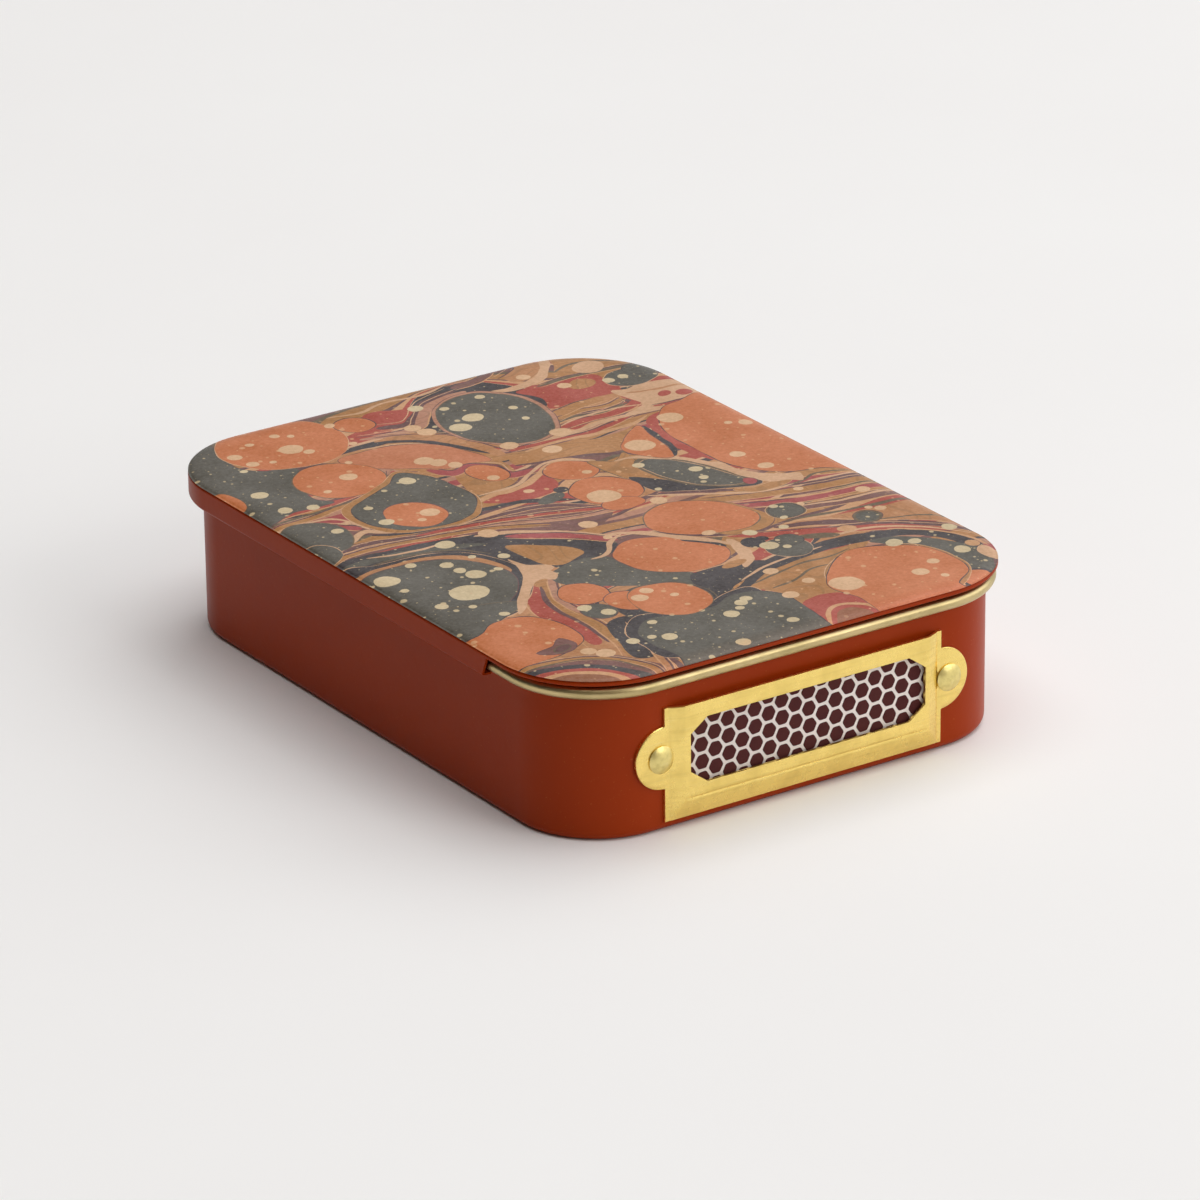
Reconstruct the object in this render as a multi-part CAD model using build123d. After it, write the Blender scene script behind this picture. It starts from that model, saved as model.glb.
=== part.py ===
from build123d import *
import math
import os

# Matchbox holder: a slide-top tin with a riveted brass label frame that holds a striker card.
# Lengths are in millimetres. The tin stands on Z = 0 with its centre over the origin.
# The label faces -Y, and the lid slides off towards +Y.

# Tinplate
sheet_thickness = 0.3

# Tin body, measured over the outside of its walls
body_width = 60.0
body_length = 82.6
body_corner_radius = 10.3
rim_height = 18.25
bead_diameter = 1.45
bead_sides = 16
curl_bore_sides = 8
curl_end_gap = 0.12
base_edge_radius = 1.0
foot_ring_width = 2.4
base_recess = 0.4
base_bend_radius = 0.35

# Running fit of the lid on the bead
side_clearance = 0.2
hem_clearance = 0.3
lip_clearance = 0.25

# Slide lid
lid_bend_radius = 0.4
channel_foot_radius = 0.5
lip_reach = 1.4
hem_width = 2.2
hem_edge_bevel = 0.15
skirt_front_distance = 27.6
skirt_end_rake = 1.1

# Marbled paper, with its clear coat
paper_thickness = 0.3
paper_inset = 0.15
paper_edge_bevel = 0.2

# Brass label frame, measured on the front wall
frame_thickness = 0.35
frame_side_margin = 1.3
frame_top_margin = 2.35
frame_foot_height = 1.15
panel_proud = 1.1
flange_width = 1.2
side_slope_width = 1.0
bottom_slope_height = 2.25
crease_radius = 0.45
window_side_margin = 0.6
window_top_margin = 2.05
window_bottom_margin = 1.6
window_chamfer_width = 2.2
window_chamfer_height = 1.55
ear_radius = 3.65
rivet_offset = 0.75

# Rivets
shank_diameter = 1.6
rivet_head_diameter = 3.2
rivet_head_height = 0.8
rivet_tail_diameter = 2.5
rivet_tail_height = 0.55
rivet_tail_bevel = 0.2
rivet_hole_clearance = 0.05
rivet_tail_clearance = 0.03

# Striker card and its patches
card_thickness = 0.4
card_clearance = 0.15
card_top_margin = 0.5
card_edge_radius = 0.3
patch_thickness = 0.06
patch_pitch = 2.1
patch_gap = 0.33
patch_margin = 0.5

# How far a cutter runs past the faces that it cuts
overrun = 2.0

# Shares of a bend's radius that flats take to lie tangent to it: one at half its turn, then one to each side
bevel_share = 2 - math.sqrt(2)
second_bevel_share = math.tan(math.pi / 8) - math.tan(math.pi / 16)

# Places that follow from the sizes above
bead_radius = bead_diameter / 2
bead_centre_height = rim_height - bead_radius
bead_centre_offset = bead_radius - sheet_thickness
bead_reach = bead_diameter - sheet_thickness
lid_overhang = bead_reach + side_clearance + sheet_thickness
front_overhang = bead_reach
lid_width = body_width + 2 * lid_overhang
lid_length = body_length + front_overhang + lid_overhang
lid_centre_y = (lid_overhang - front_overhang) / 2
lid_corner_radius = body_corner_radius + lid_overhang
hem_bottom = rim_height + hem_clearance
crown_top = hem_bottom + 2 * sheet_thickness
crown_bottom = crown_top - sheet_thickness
lip_top = rim_height - bead_diameter - lip_clearance
lip_bottom = lip_top - sheet_thickness
front_wall = -body_length / 2
frame_width = body_width - 2 * body_corner_radius - 2 * frame_side_margin
frame_top = rim_height - bead_diameter - frame_top_margin
frame_height = frame_top - frame_foot_height
panel_width = frame_width - 2 * (flange_width + side_slope_width)
panel_foot = frame_foot_height + bottom_slope_height
window_width = panel_width - 2 * window_side_margin
window_height = frame_top - window_top_margin - window_bottom_margin - panel_foot
window_centre_height = panel_foot + window_bottom_margin + window_height / 2
rivet_pitch = frame_width + 2 * rivet_offset
hole_radius = shank_diameter / 2 + rivet_hole_clearance
lid_travel = body_length / 2 + bead_reach + skirt_front_distance
card_bottom = frame_foot_height + bottom_slope_height / 2 + card_clearance


def plan(inset=0.0):
    """Outline of the tin in plan, moved in from the wall's outer face by inset."""
    width = body_width - 2 * inset
    length = body_length - 2 * inset
    return RectangleRounded(width, length, body_corner_radius - inset)


def lid_plan(inset=0.0):
    """Outline of the lid in plan, moved in from its outer face by inset."""
    width = lid_width - 2 * inset
    length = lid_length - 2 * inset
    return Pos(0, lid_centre_y) * RectangleRounded(width, length, lid_corner_radius - inset)


def slab(outline, bottom, top):
    """Straight prism of a plan outline between two heights."""
    return Pos(0, 0, bottom) * extrude(outline, top - bottom)


def edges_at(shape, height):
    """Edges that lie level at one height."""
    tolerance = sheet_thickness / 100
    level = shape.edges().filter_by_position(Axis.Z, height - tolerance, height + tolerance)
    return [edge for edge in level if edge.bounding_box().size.Z < tolerance]


def block(x_range, y_range, z_range):
    """Box between two corners, given as a pair of limits on each axis."""
    sizes = [limits[1] - limits[0] for limits in (x_range, y_range, z_range)]
    centre = [(limits[0] + limits[1]) / 2 for limits in (x_range, y_range, z_range)]
    return Pos(*centre) * Box(*sizes)


def on_front_wall(sketch, depth):
    """Stand a sketch on the front wall: its X stays X, its Y becomes height, and it grows outwards."""
    return extrude(Plane(origin=(0, front_wall, 0), x_dir=(1, 0, 0), z_dir=(0, -1, 0)) * sketch, depth)


# Tin body
def bead_curl():
    """Rolled bead: the wall's top curls outwards and back until it nearly meets the wall.

    Its section has flat sides to keep the facets few, and fewer of them in the bore, which nobody sees.
    """
    bore = RegularPolygon(bead_radius - sheet_thickness, curl_bore_sides)
    ring = RegularPolygon(bead_radius, bead_sides) - bore
    cut_right = curl_end_gap - bead_centre_offset
    opening = Pos(cut_right - overrun / 2, -overrun / 2) * Rectangle(overrun, overrun)
    section = Plane(
        origin=(body_width / 2 + bead_centre_offset, 0, bead_centre_height),
        x_dir=(1, 0, 0),
        z_dir=(0, -1, 0),
    ) * (ring - opening)
    path = Pos(0, 0, bead_centre_height) * plan().wire()
    start = path.edges().sort_by(Axis.X)[-1]
    half = start.length / 2
    flat_x = body_width / 2
    upper = Edge.make_line((flat_x, 0, bead_centre_height), (flat_x, half, bead_centre_height))
    lower = Edge.make_line((flat_x, -half, bead_centre_height), (flat_x, 0, bead_centre_height))
    others = [edge for edge in path.edges() if edge != start]
    return sweep(section, path=Wire([upper, *others, lower]))


def tin_body():
    """Drawn tin: walls, rolled bead, foot ring with a recessed base panel, and two rivet holes."""
    first_bevel = base_edge_radius * bevel_share
    outside = slab(plan(), 0, bead_centre_height)
    outside = chamfer(edges_at(outside, 0), first_bevel)
    bevel_edges = edges_at(outside, 0) + edges_at(outside, first_bevel)
    outside = chamfer(bevel_edges, base_edge_radius * second_bevel_share)
    inside = slab(plan(sheet_thickness), sheet_thickness, bead_centre_height + overrun)
    inside = chamfer(edges_at(inside, sheet_thickness), (base_edge_radius - sheet_thickness) * bevel_share)
    foot_inset = base_edge_radius + foot_ring_width
    recess = slab(plan(foot_inset), -overrun, base_recess)
    recess = chamfer(edges_at(recess, base_recess), base_bend_radius * bevel_share)
    panel = slab(plan(foot_inset - sheet_thickness), 0, base_recess + sheet_thickness)
    panel = chamfer(edges_at(panel, base_recess + sheet_thickness), base_bend_radius * bevel_share)
    body = outside - inside + panel - recess + bead_curl()
    return body - rivet_holes(overrun)


# Holes and cutters on the front wall
def rivet_holes(depth):
    """Cylinders through the front wall and the frame's ears, one at each rivet."""
    holes = Sketch() + [
        Pos(side * rivet_pitch / 2, window_centre_height) * Circle(hole_radius) for side in (-1, 1)
    ]
    return Pos(0, depth, 0) * on_front_wall(holes, 2 * depth)


# Slide lid
def skirt_end_cutter():
    """Wedge that rakes the front ends of the side skirts, from the hem's underside down."""
    rise = hem_bottom - lip_bottom
    front = -skirt_front_distance
    with BuildSketch(Plane.YZ) as profile:
        with BuildLine():
            Polyline(
                (front, hem_bottom),
                (front + 2 * skirt_end_rake, hem_bottom - 2 * rise),
                (front - overrun, hem_bottom - 2 * rise),
                (front - overrun, hem_bottom),
                close=True,
            )
        make_face()
    return extrude(profile.sketch, lid_width, both=True)


def slide_lid():
    """Pressed lid: flat crown, channel round the sides and back, and a folded hem at the front."""
    half = lid_width / 2 + overrun
    back_half = block((-half, half), (-skirt_front_distance, lid_length), (0, 2 * crown_top))
    front_half = block((-half, half), (-lid_length, -skirt_front_distance), (0, 2 * crown_top))
    channelled = channelled_form() - skirt_end_cutter()
    return (channelled & back_half) + (hemmed_form() & front_half)


def channelled_form():
    """Crown whose edge turns down past the bead and in under it, all the way round."""
    outside = slab(lid_plan(), lip_bottom, crown_top)
    outside = fillet(edges_at(outside, crown_top), lid_bend_radius)
    outside = fillet(edges_at(outside, lip_bottom), channel_foot_radius)
    channel = slab(lid_plan(sheet_thickness), lip_top, crown_bottom)
    channel = chamfer(edges_at(channel, crown_bottom), (lid_bend_radius - sheet_thickness) * bevel_share)
    channel = chamfer(edges_at(channel, lip_top), (channel_foot_radius - sheet_thickness) * bevel_share)
    mouth = slab(lid_plan(lip_reach), lip_bottom - overrun, crown_bottom)
    return outside - channel - mouth


def hemmed_form():
    """Crown whose edge is folded back flat under itself, all the way round."""
    outside = slab(lid_plan(), hem_bottom, crown_top)
    outside = fillet(edges_at(outside, crown_top), lid_bend_radius)
    outside = chamfer(edges_at(outside, hem_bottom), hem_edge_bevel)
    return outside - slab(lid_plan(hem_width), hem_bottom - overrun, crown_bottom)


def marbled_paper():
    """Paper facing on the crown, with a bevelled edge."""
    paper = slab(lid_plan(paper_inset), crown_top, crown_top + paper_thickness)
    return chamfer(edges_at(paper, crown_top + paper_thickness), paper_edge_bevel)


# Label frame
def raised_form(shift, top):
    """Raised middle of the frame, pushed back by shift, so that two of them make a pressed sheet."""
    back = front_wall + shift
    front = back - panel_proud
    depth_share = panel_proud / (panel_proud - frame_thickness)
    flank = side_slope_width * depth_share
    low = panel_foot - bottom_slope_height * depth_share
    with BuildSketch(Plane.XY) as level:
        with BuildLine():
            Polyline(
                (-panel_width / 2 - flank, back),
                (panel_width / 2 + flank, back),
                (panel_width / 2, front),
                (-panel_width / 2, front),
                close=True,
            )
        make_face()
    with BuildSketch(Plane.YZ) as upright:
        with BuildLine():
            Polyline((back, top), (back, low), (front, panel_foot), (front, top), close=True)
        make_face()
    wide = extrude(level.sketch, 2 * frame_top, both=True)
    tall = extrude(upright.sketch, frame_width, both=True)
    form = wide & tall
    creases = [
        edge
        for edge in form.edges()
        if edge.center().Y < back - panel_proud / 4 and edge.center().Z < top - crease_radius
    ]
    return fillet(creases, crease_radius)


def window():
    """Eight-sided window through the raised panel."""
    half_width = window_width / 2
    half_height = window_height / 2
    corners = []
    for across, up in ((1, 1), (-1, 1), (-1, -1), (1, -1)):
        side = (across * half_width, up * (half_height - window_chamfer_height))
        end = (across * (half_width - window_chamfer_width), up * half_height)
        corners += [side, end] if across * up > 0 else [end, side]
    with BuildSketch() as outline:
        with BuildLine():
            Polyline(*corners, close=True)
        make_face()
    return on_front_wall(Pos(0, window_centre_height) * outline.sketch, panel_proud + overrun)


def label_frame():
    """Pressed brass frame: flanges and ears on the wall, sloped sides, raised panel, open top."""
    middle = frame_foot_height + frame_height / 2
    flat = Pos(0, middle) * Rectangle(frame_width, frame_height)
    for side in (-1, 1):
        flat += Pos(side * frame_width / 2, window_centre_height) * Circle(ear_radius)
    raised = raised_form(0, frame_top)
    keep = block(
        (-frame_width, frame_width),
        (front_wall - panel_proud - overrun, front_wall),
        (frame_foot_height, frame_top),
    )
    hollow = raised_form(frame_thickness, frame_top + overrun)
    frame = on_front_wall(flat, frame_thickness) + (raised & keep)
    return frame - hollow - window() - rivet_holes(panel_proud + overrun)


# Striker
def striker_card():
    """Card that stands in the frame against the wall."""
    width = panel_width + side_slope_width - 2 * card_clearance
    height = frame_top - card_top_margin - card_bottom
    outline = Pos(0, card_bottom + height / 2) * RectangleRounded(width, height, card_edge_radius)
    return on_front_wall(outline, card_thickness)


def striker_patches():
    """Six-sided patches of striking compound, which run on a little way behind the frame."""
    column_pitch = patch_pitch * math.sqrt(3) / 2
    patch_radius = (patch_pitch - patch_gap) / math.sqrt(3)
    field_width = window_width + 2 * patch_margin
    field_height = window_height + 2 * patch_margin
    field = Pos(0, window_centre_height) * Rectangle(field_width, field_height)
    columns = math.ceil(field_width / column_pitch / 2)
    rows = math.ceil(field_height / patch_pitch / 2)
    patches = []
    for column in range(-columns, columns + 1):
        stagger = patch_pitch / 2 * (column % 2)
        for row in range(-rows, rows + 1):
            place = Pos(column * column_pitch, window_centre_height + row * patch_pitch + stagger)
            patches += (place * RegularPolygon(patch_radius, 6) & field).faces()
    least_area = patch_gap * patch_gap
    cells = Sketch() + [patch for patch in patches if patch.area > least_area]
    return Pos(0, -card_thickness, 0) * on_front_wall(cells, patch_thickness)


# Rivets
def cap_radius(radius, height):
    """Radius of the sphere whose cap has this height over a circle of this radius."""
    return (radius * radius + height * height) / (2 * height)


def rivet(side):
    """Domed rivet through ear and wall, with its tail peened inside the tin."""
    tail_seat = -frame_thickness - sheet_thickness - rivet_tail_clearance
    shank_radius = shank_diameter / 2
    head_radius = rivet_head_diameter / 2
    tail_radius = rivet_tail_diameter / 2
    tail_end = tail_seat - rivet_tail_height
    head_sphere = cap_radius(head_radius, rivet_head_height)
    with BuildSketch(Plane.XY) as profile:
        with BuildLine():
            RadiusArc((0, rivet_head_height), (head_radius, 0), head_sphere)
            Polyline(
                (head_radius, 0),
                (shank_radius, 0),
                (shank_radius, tail_seat),
                (tail_radius, tail_seat),
                (tail_radius, tail_end + rivet_tail_bevel),
                (tail_radius - rivet_tail_bevel, tail_end),
                (0, tail_end),
                (0, rivet_head_height),
            )
        make_face()
    turned = revolve(profile.sketch, Axis.Y)
    seat = Location((side * rivet_pitch / 2, front_wall - frame_thickness, window_centre_height))
    return seat * Rot(180, 0, 0) * turned


def build_parts():
    """Every node of the object, by name."""
    return {
        "tin_body": tin_body(),
        "slide_lid": slide_lid(),
        "marbled_paper": marbled_paper(),
        "label_frame": label_frame(),
        "striker_card": striker_card(),
        "striker_patches": striker_patches(),
        "left_rivet": rivet(-1),
        "right_rivet": rivet(1),
    }


os.makedirs("parts", exist_ok=True)
for name, part in build_parts().items():
    export_step(part, f"parts/{name}.step")
    print(name, round(part.volume, 3))
print("the lid comes clear of the tin after", round(lid_travel, 2))
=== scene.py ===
"""Looks of the matchbox holder: a slide-top tin with a marbled paper lid and a riveted brass label frame.

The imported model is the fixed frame, in metres, with +Z up. The label faces -Y and the lid slides off towards +Y.
Sizes in the classes below are in millimetres, as on a drawing, and become metres where a mesh is made.
"""

import logging
import math
from dataclasses import dataclass
from enum import Enum
from itertools import cycle
from typing import Any, Iterable, Mapping, Sequence

import bmesh
import bpy
import numpy as np
from mathutils import Matrix, Vector, noise
from mathutils.geometry import delaunay_2d_cdt


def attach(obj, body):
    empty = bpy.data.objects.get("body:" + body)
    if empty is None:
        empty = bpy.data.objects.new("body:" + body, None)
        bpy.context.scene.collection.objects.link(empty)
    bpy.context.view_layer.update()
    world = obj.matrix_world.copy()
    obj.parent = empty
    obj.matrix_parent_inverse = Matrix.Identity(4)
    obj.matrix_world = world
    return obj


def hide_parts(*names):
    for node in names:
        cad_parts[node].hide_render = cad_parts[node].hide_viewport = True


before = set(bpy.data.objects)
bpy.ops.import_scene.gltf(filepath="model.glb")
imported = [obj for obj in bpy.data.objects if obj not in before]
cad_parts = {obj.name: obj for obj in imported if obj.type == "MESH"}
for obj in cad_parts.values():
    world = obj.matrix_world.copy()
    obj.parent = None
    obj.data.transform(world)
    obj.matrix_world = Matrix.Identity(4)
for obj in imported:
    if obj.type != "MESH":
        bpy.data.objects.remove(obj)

log = logging.getLogger("matchbox_holder")

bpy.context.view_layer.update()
METRES = 0.001

# What the cut of a plane hands back: triangles, out to the convex hull.
TO_THE_HULL = 0

Point = tuple[float, float]
Place = tuple[float, float, float]
Colour = tuple[float, float, float]
# A point of a plan's outline with the direction straight out of the plan there.
Station = tuple[float, float, float, float]


def linear(code: str) -> Colour:
    """Turn a colour as written on a swatch card into the linear values that a shader takes."""
    shares = [int(code[place : place + 2], 16) / 255 for place in (0, 2, 4)]
    return tuple(share / 12.92 if share <= 0.04045 else ((share + 0.055) / 1.055) ** 2.4 for share in shares)


# Shader expressions


class Term:
    """A shader socket that stands in a Python expression, which adds the nodes that it needs."""

    def __init__(self, tree: "ShaderTree", socket: bpy.types.NodeSocket) -> None:
        """Wrap one output socket."""
        self.tree = tree
        self.socket = socket

    @property
    def is_vector(self) -> bool:
        """Whether the socket carries three numbers."""
        return self.socket.type in {"VECTOR", "RGBA"}

    def _apply(self, operation: str, *operands: "Operand", output: int | str = 0) -> "Term":
        """Add the Math node of one operation, or its Vector Math node where an operand is a vector.

        Args:
            operation: The node's operation.
            operands: What goes into its sockets, in order.
            output: Which of the node's outputs is the result.

        Returns:
            The result as a new term.
        """
        vector = any(isinstance(each, tuple) or isinstance(each, Term) and each.is_vector for each in operands)
        kind = "ShaderNodeVectorMath" if vector else "ShaderNodeMath"
        return self.tree.node(kind, {"operation": operation}, dict(enumerate(operands)), output)

    def __add__(self, other: "Operand") -> "Term":
        """Sum."""
        return self._apply("ADD", self, other)

    def __radd__(self, other: "Operand") -> "Term":
        """Sum, from the right."""
        return self._apply("ADD", other, self)

    def __sub__(self, other: "Operand") -> "Term":
        """Difference."""
        return self._apply("SUBTRACT", self, other)

    def __rsub__(self, other: "Operand") -> "Term":
        """Difference, from the right."""
        return self._apply("SUBTRACT", other, self)

    def __mul__(self, other: "Operand") -> "Term":
        """Product."""
        return self._apply("MULTIPLY", self, other)

    def __rmul__(self, other: "Operand") -> "Term":
        """Product, from the right."""
        return self._apply("MULTIPLY", other, self)

    def __truediv__(self, other: "Operand") -> "Term":
        """Quotient."""
        return self._apply("DIVIDE", self, other)

    def __rtruediv__(self, other: "Operand") -> "Term":
        """Quotient, from the right."""
        return self._apply("DIVIDE", other, self)

    def at_least(self, floor: "Operand") -> "Term":
        """The larger of this and a floor."""
        return self._apply("MAXIMUM", self, floor)

    def sine(self) -> "Term":
        """Sine of a number of radians."""
        return self._apply("SINE", self)

    def share(self) -> "Term":
        """This number held between 0 and 1."""
        return self.tree.node("ShaderNodeClamp", {}, {0: self})

    def above(self, level: float, gain: float) -> "Term":
        """How far this number stands above a level, times a gain, held between 0 and 1."""
        return ((self - level) * gain).share()

    def dot(self, other: "Operand") -> "Term":
        """Dot product of two vectors."""
        return self._apply("DOT_PRODUCT", self, other, output="Value")

    def blend(self, other: "Operand", mask: "Operand") -> "Term":
        """This colour, turned into another where the mask is 1."""
        return self.tree.mix(mask, self, other)


Operand = Term | float | tuple


class ShaderTree:
    """Nodes of one material or world, all added by one method."""

    def __init__(self, name: str, library: str = "materials") -> None:
        """Start an empty material or world.

        Args:
            name: Its name.
            library: Where it is kept, materials or worlds.
        """
        self.owner = getattr(bpy.data, library).new(name)
        self.owner.use_nodes = True
        self.nodes = self.owner.node_tree.nodes
        self.links = self.owner.node_tree.links
        self.nodes.clear()

    def node(
        self,
        kind: str,
        settings: Mapping[str, Any] | None = None,
        sockets: Mapping[int | str, Operand] | None = None,
        output: int | str = 0,
    ) -> Term | None:
        """Add one node.

        Args:
            kind: The node's type.
            settings: Its settings, set first.
            sockets: Numbers, colours or links of its input sockets, by index or name.
            output: Which of its outputs is handed back.

        Returns:
            The chosen output as a term, or None for a node without outputs.
        """
        made = self.nodes.new(kind)
        for name, value in (settings or {}).items():
            setattr(made, name, value)
        for key, value in (sockets or {}).items():
            self._feed(made.inputs[key], value)
        return Term(self, made.outputs[output]) if made.outputs else None

    def _feed(self, socket: bpy.types.NodeSocket, value: Operand) -> None:
        """Link a term to an input socket, or set its number or colour.

        Args:
            socket: The input socket.
            value: What goes into it.
        """
        if isinstance(value, Term):
            self.links.new(value.socket, socket)
        elif socket.type == "RGBA":
            colour = value if isinstance(value, tuple) else (value,) * 3
            socket.default_value = (*colour[:3], 1.0)
        elif socket.type == "VECTOR":
            socket.default_value = value if isinstance(value, tuple) else (value,) * 3
        else:
            socket.default_value = value

    def mix(self, mask: Operand, first: Operand, second: Operand, **settings: Any) -> Term:
        """Mix two colours, the second one where the mask is 1."""
        # A Mix node's sockets share their names between numbers, vectors and colours, so these go by index.
        sockets = {0: mask, 6: first, 7: second}
        return self.node("ShaderNodeMix", {"data_type": "RGBA", **settings}, sockets, 2)

    def place(self) -> Term:
        """Where a point lies on the object, in millimetres."""
        return self.node("ShaderNodeTexCoord", output="Object") * ((1 / METRES,) * 3)

    def cloud(
        self, place: Term, size: float, detail: float = 2.0, roughness: float = 0.5, output: int | str = 0
    ) -> Term:
        """Soft noise from 0 to 1 at a place, with features of a size in millimetres."""
        sockets = {"Vector": place, "Scale": 1 / size, "Detail": detail, "Roughness": roughness}
        return self.node("ShaderNodeTexNoise", {"noise_dimensions": "3D"}, sockets, output)

    def drift(self, place: Term, size: float, reach: float) -> Term:
        """Push a place about with noise.

        Args:
            place: The place, in millimetres.
            size: Width of the noise's features in millimetres.
            reach: About how far a point is pushed.

        Returns:
            The moved place.
        """
        colour = self.cloud(place, size, detail=1.0, output="Color")
        # The noise seldom stands further than a quarter from its middle.
        return place + (colour - (0.5, 0.5, 0.5)) * ((4 * reach,) * 3)

    def bump(self, height: Term, depth: float, strength: float = 1.0) -> Term:
        """Bump of a surface, where a height of 1 stands for a depth in millimetres."""
        return self.node("ShaderNodeBump", {}, {"Strength": strength, "Distance": depth * METRES, "Height": height})

    def surface(self, **sockets: Operand) -> bpy.types.Material:
        """End the tree in a Principled surface.

        Args:
            sockets: Its sockets by name, with an underscore for each space.

        Returns:
            The finished material.
        """
        named = {name.replace("_", " "): value for name, value in sockets.items()}
        shader = self.node("ShaderNodeBsdfPrincipled", {}, named)
        self.node("ShaderNodeOutputMaterial", {}, {0: shader})
        return self.owner


# Finishes


@dataclass(frozen=True)
class EnamelFinish:
    """Satin rust red enamel on tinplate."""

    colour: Colour = linear("a23909")
    shade: Colour = linear("942f07")
    speck: Colour = linear("b05a30")
    gloss_roughness: float = 0.36
    orange_peel: float = 0.02

    def material(self) -> bpy.types.Material:
        """Enamel with faint clouds of colour, fine orange peel and a few specks.

        Returns:
            The material.
        """
        tree = ShaderTree("rust_enamel")
        place = tree.place()
        patches = tree.cloud(place, size=14.0, detail=3.0)
        fine = tree.cloud(place, size=0.55)
        specks = tree.cloud(place, size=0.22, detail=0.0).above(0.78, gain=14.0)
        colour = tree.mix(patches, self.shade, self.colour).blend(self.speck, specks * 0.5)
        roughness = patches * 0.08 + fine * 0.05 + (self.gloss_roughness - 0.06)
        peel = tree.cloud(place, size=0.9, detail=1.0)
        normal = tree.bump(peel + fine * 0.3, depth=self.orange_peel, strength=0.6)
        return tree.surface(Base_Color=colour, Roughness=roughness, Normal=normal, Specular_IOR_Level=0.09)


@dataclass(frozen=True)
class MetalFinish:
    """A yellow metal, bare or under gold lacquer."""

    name: str
    colour: Colour
    tarnish: Colour
    roughness: float
    cloud_size: float
    brush_size: Place
    brush_depth: float
    tarnish_share: float
    glint: Colour = (1.0, 0.93, 0.66)
    streak_stretch: Place = (2.0, 4.0, 3.0)

    def material(self) -> bpy.types.Material:
        """Metal with clouded tarnish, brush lines and small dents.

        Returns:
            The material.
        """
        tree = ShaderTree(self.name)
        place = tree.place()
        clouds = tree.cloud(place, self.cloud_size, detail=4.0, roughness=0.6)
        smears = tree.cloud(place, self.cloud_size * 0.3, detail=3.0)
        mask = clouds.above(0.44, gain=3.6) * self.tarnish_share
        brush = tree.cloud(place / self.brush_size, size=1.0)
        streak_size = tuple(size * stretch for size, stretch in zip(self.brush_size, self.streak_stretch))
        streak = tree.cloud(place / streak_size, size=1.0)
        base = tree.mix(mask, self.colour, self.tarnish)
        base = base.blend(self.tarnish, streak.above(0.5, gain=2.5) * self.tarnish_share)
        base = base.blend(self.glint, brush.above(0.6, gain=3.0) * 0.25)
        roughness = (clouds - 0.5) * 0.16 + (smears - 0.5) * 0.12 + self.roughness
        normal = tree.bump(brush * 0.6 + smears * 0.7, self.brush_depth, strength=0.8)
        return tree.surface(Base_Color=base, Roughness=roughness, Normal=normal, Metallic=1.0)


GOLD_LACQUER = MetalFinish(
    name="gold_lacquer",
    colour=linear("cdb988"),
    tarnish=linear("968a58"),
    roughness=0.37,
    cloud_size=5.0,
    brush_size=(3.0, 3.0, 0.4),
    brush_depth=0.004,
    tarnish_share=0.6,
)
BRASS = MetalFinish(
    name="pressed_brass",
    colour=linear("fbde82"),
    tarnish=linear("b3943f"),
    roughness=0.28,
    cloud_size=3.0,
    brush_size=(4.0, 1.0, 0.1),
    brush_depth=0.003,
    tarnish_share=0.24,
)
RIVET_BRASS = MetalFinish(
    name="rivet_brass",
    colour=linear("ead98f"),
    tarnish=linear("ac9850"),
    roughness=0.4,
    cloud_size=0.7,
    brush_size=(0.6, 0.6, 0.5),
    brush_depth=0.01,
    tarnish_share=0.35,
)


@dataclass(frozen=True)
class CardFinish:
    """Uncoated off-white card."""

    colour: Colour = linear("faf3ef")
    shade: Colour = linear("e6dad4")
    fibre_size: Place = (0.7, 0.2, 0.18)

    def material(self) -> bpy.types.Material:
        """Card with fine fibres.

        Returns:
            The material.
        """
        tree = ShaderTree("striker_card_stock")
        place = tree.place()
        fibre = tree.cloud(place / self.fibre_size, size=1.0, detail=3.0)
        mottle = tree.cloud(place, size=3.0)
        base = tree.mix(fibre * 0.5 + mottle * 0.3, self.colour, self.shade)
        normal = tree.bump(fibre, depth=0.02, strength=0.5)
        return tree.surface(Base_Color=base, Roughness=0.85, Specular_IOR_Level=0.2, Normal=normal)


@dataclass(frozen=True)
class StrikingFinish:
    """Dark red-brown striking compound, screened on in thin patches."""

    colour: Colour = linear("45181a")
    wash: Colour = linear("52211f")
    grit: Colour = linear("8a4f4a")

    def material(self) -> bpy.types.Material:
        """Matte compound with fine grit.

        Returns:
            The material.
        """
        tree = ShaderTree("striking_compound")
        place = tree.place()
        grit = tree.cloud(place, size=0.11)
        wash = tree.cloud(place, size=1.6)
        base = tree.mix(wash, self.colour, self.wash).blend(self.grit, grit.above(0.68, gain=6.0) * 0.5)
        normal = tree.bump(grit, depth=0.03, strength=0.6)
        return tree.surface(Base_Color=base, Roughness=0.78, Specular_IOR_Level=0.25, Normal=normal)


class Ink(Enum):
    """Inks of the marbled sheet."""

    ORANGE = "ce6f2b"
    APRICOT = "cc7643"
    AMBER = "b97a34"
    TAN = "bf7e44"
    SLATE = "50493a"
    NIGHT = "261012"
    OCHRE = "b4762a"
    LENS = "94521a"
    OLIVE = "67502c"
    CREAM = "d8a67a"
    PEARL = "d9c195"
    FOAM = "e3b485"
    PEACH = "d39a66"
    BLUSH = "bd8060"
    RED = "af350d"
    CRIMSON = "a83430"
    WINE = "63302a"
    MAUVE = "784135"

    @property
    def colour(self) -> Colour:
        """The ink as linear values."""
        return linear(self.value)


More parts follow.
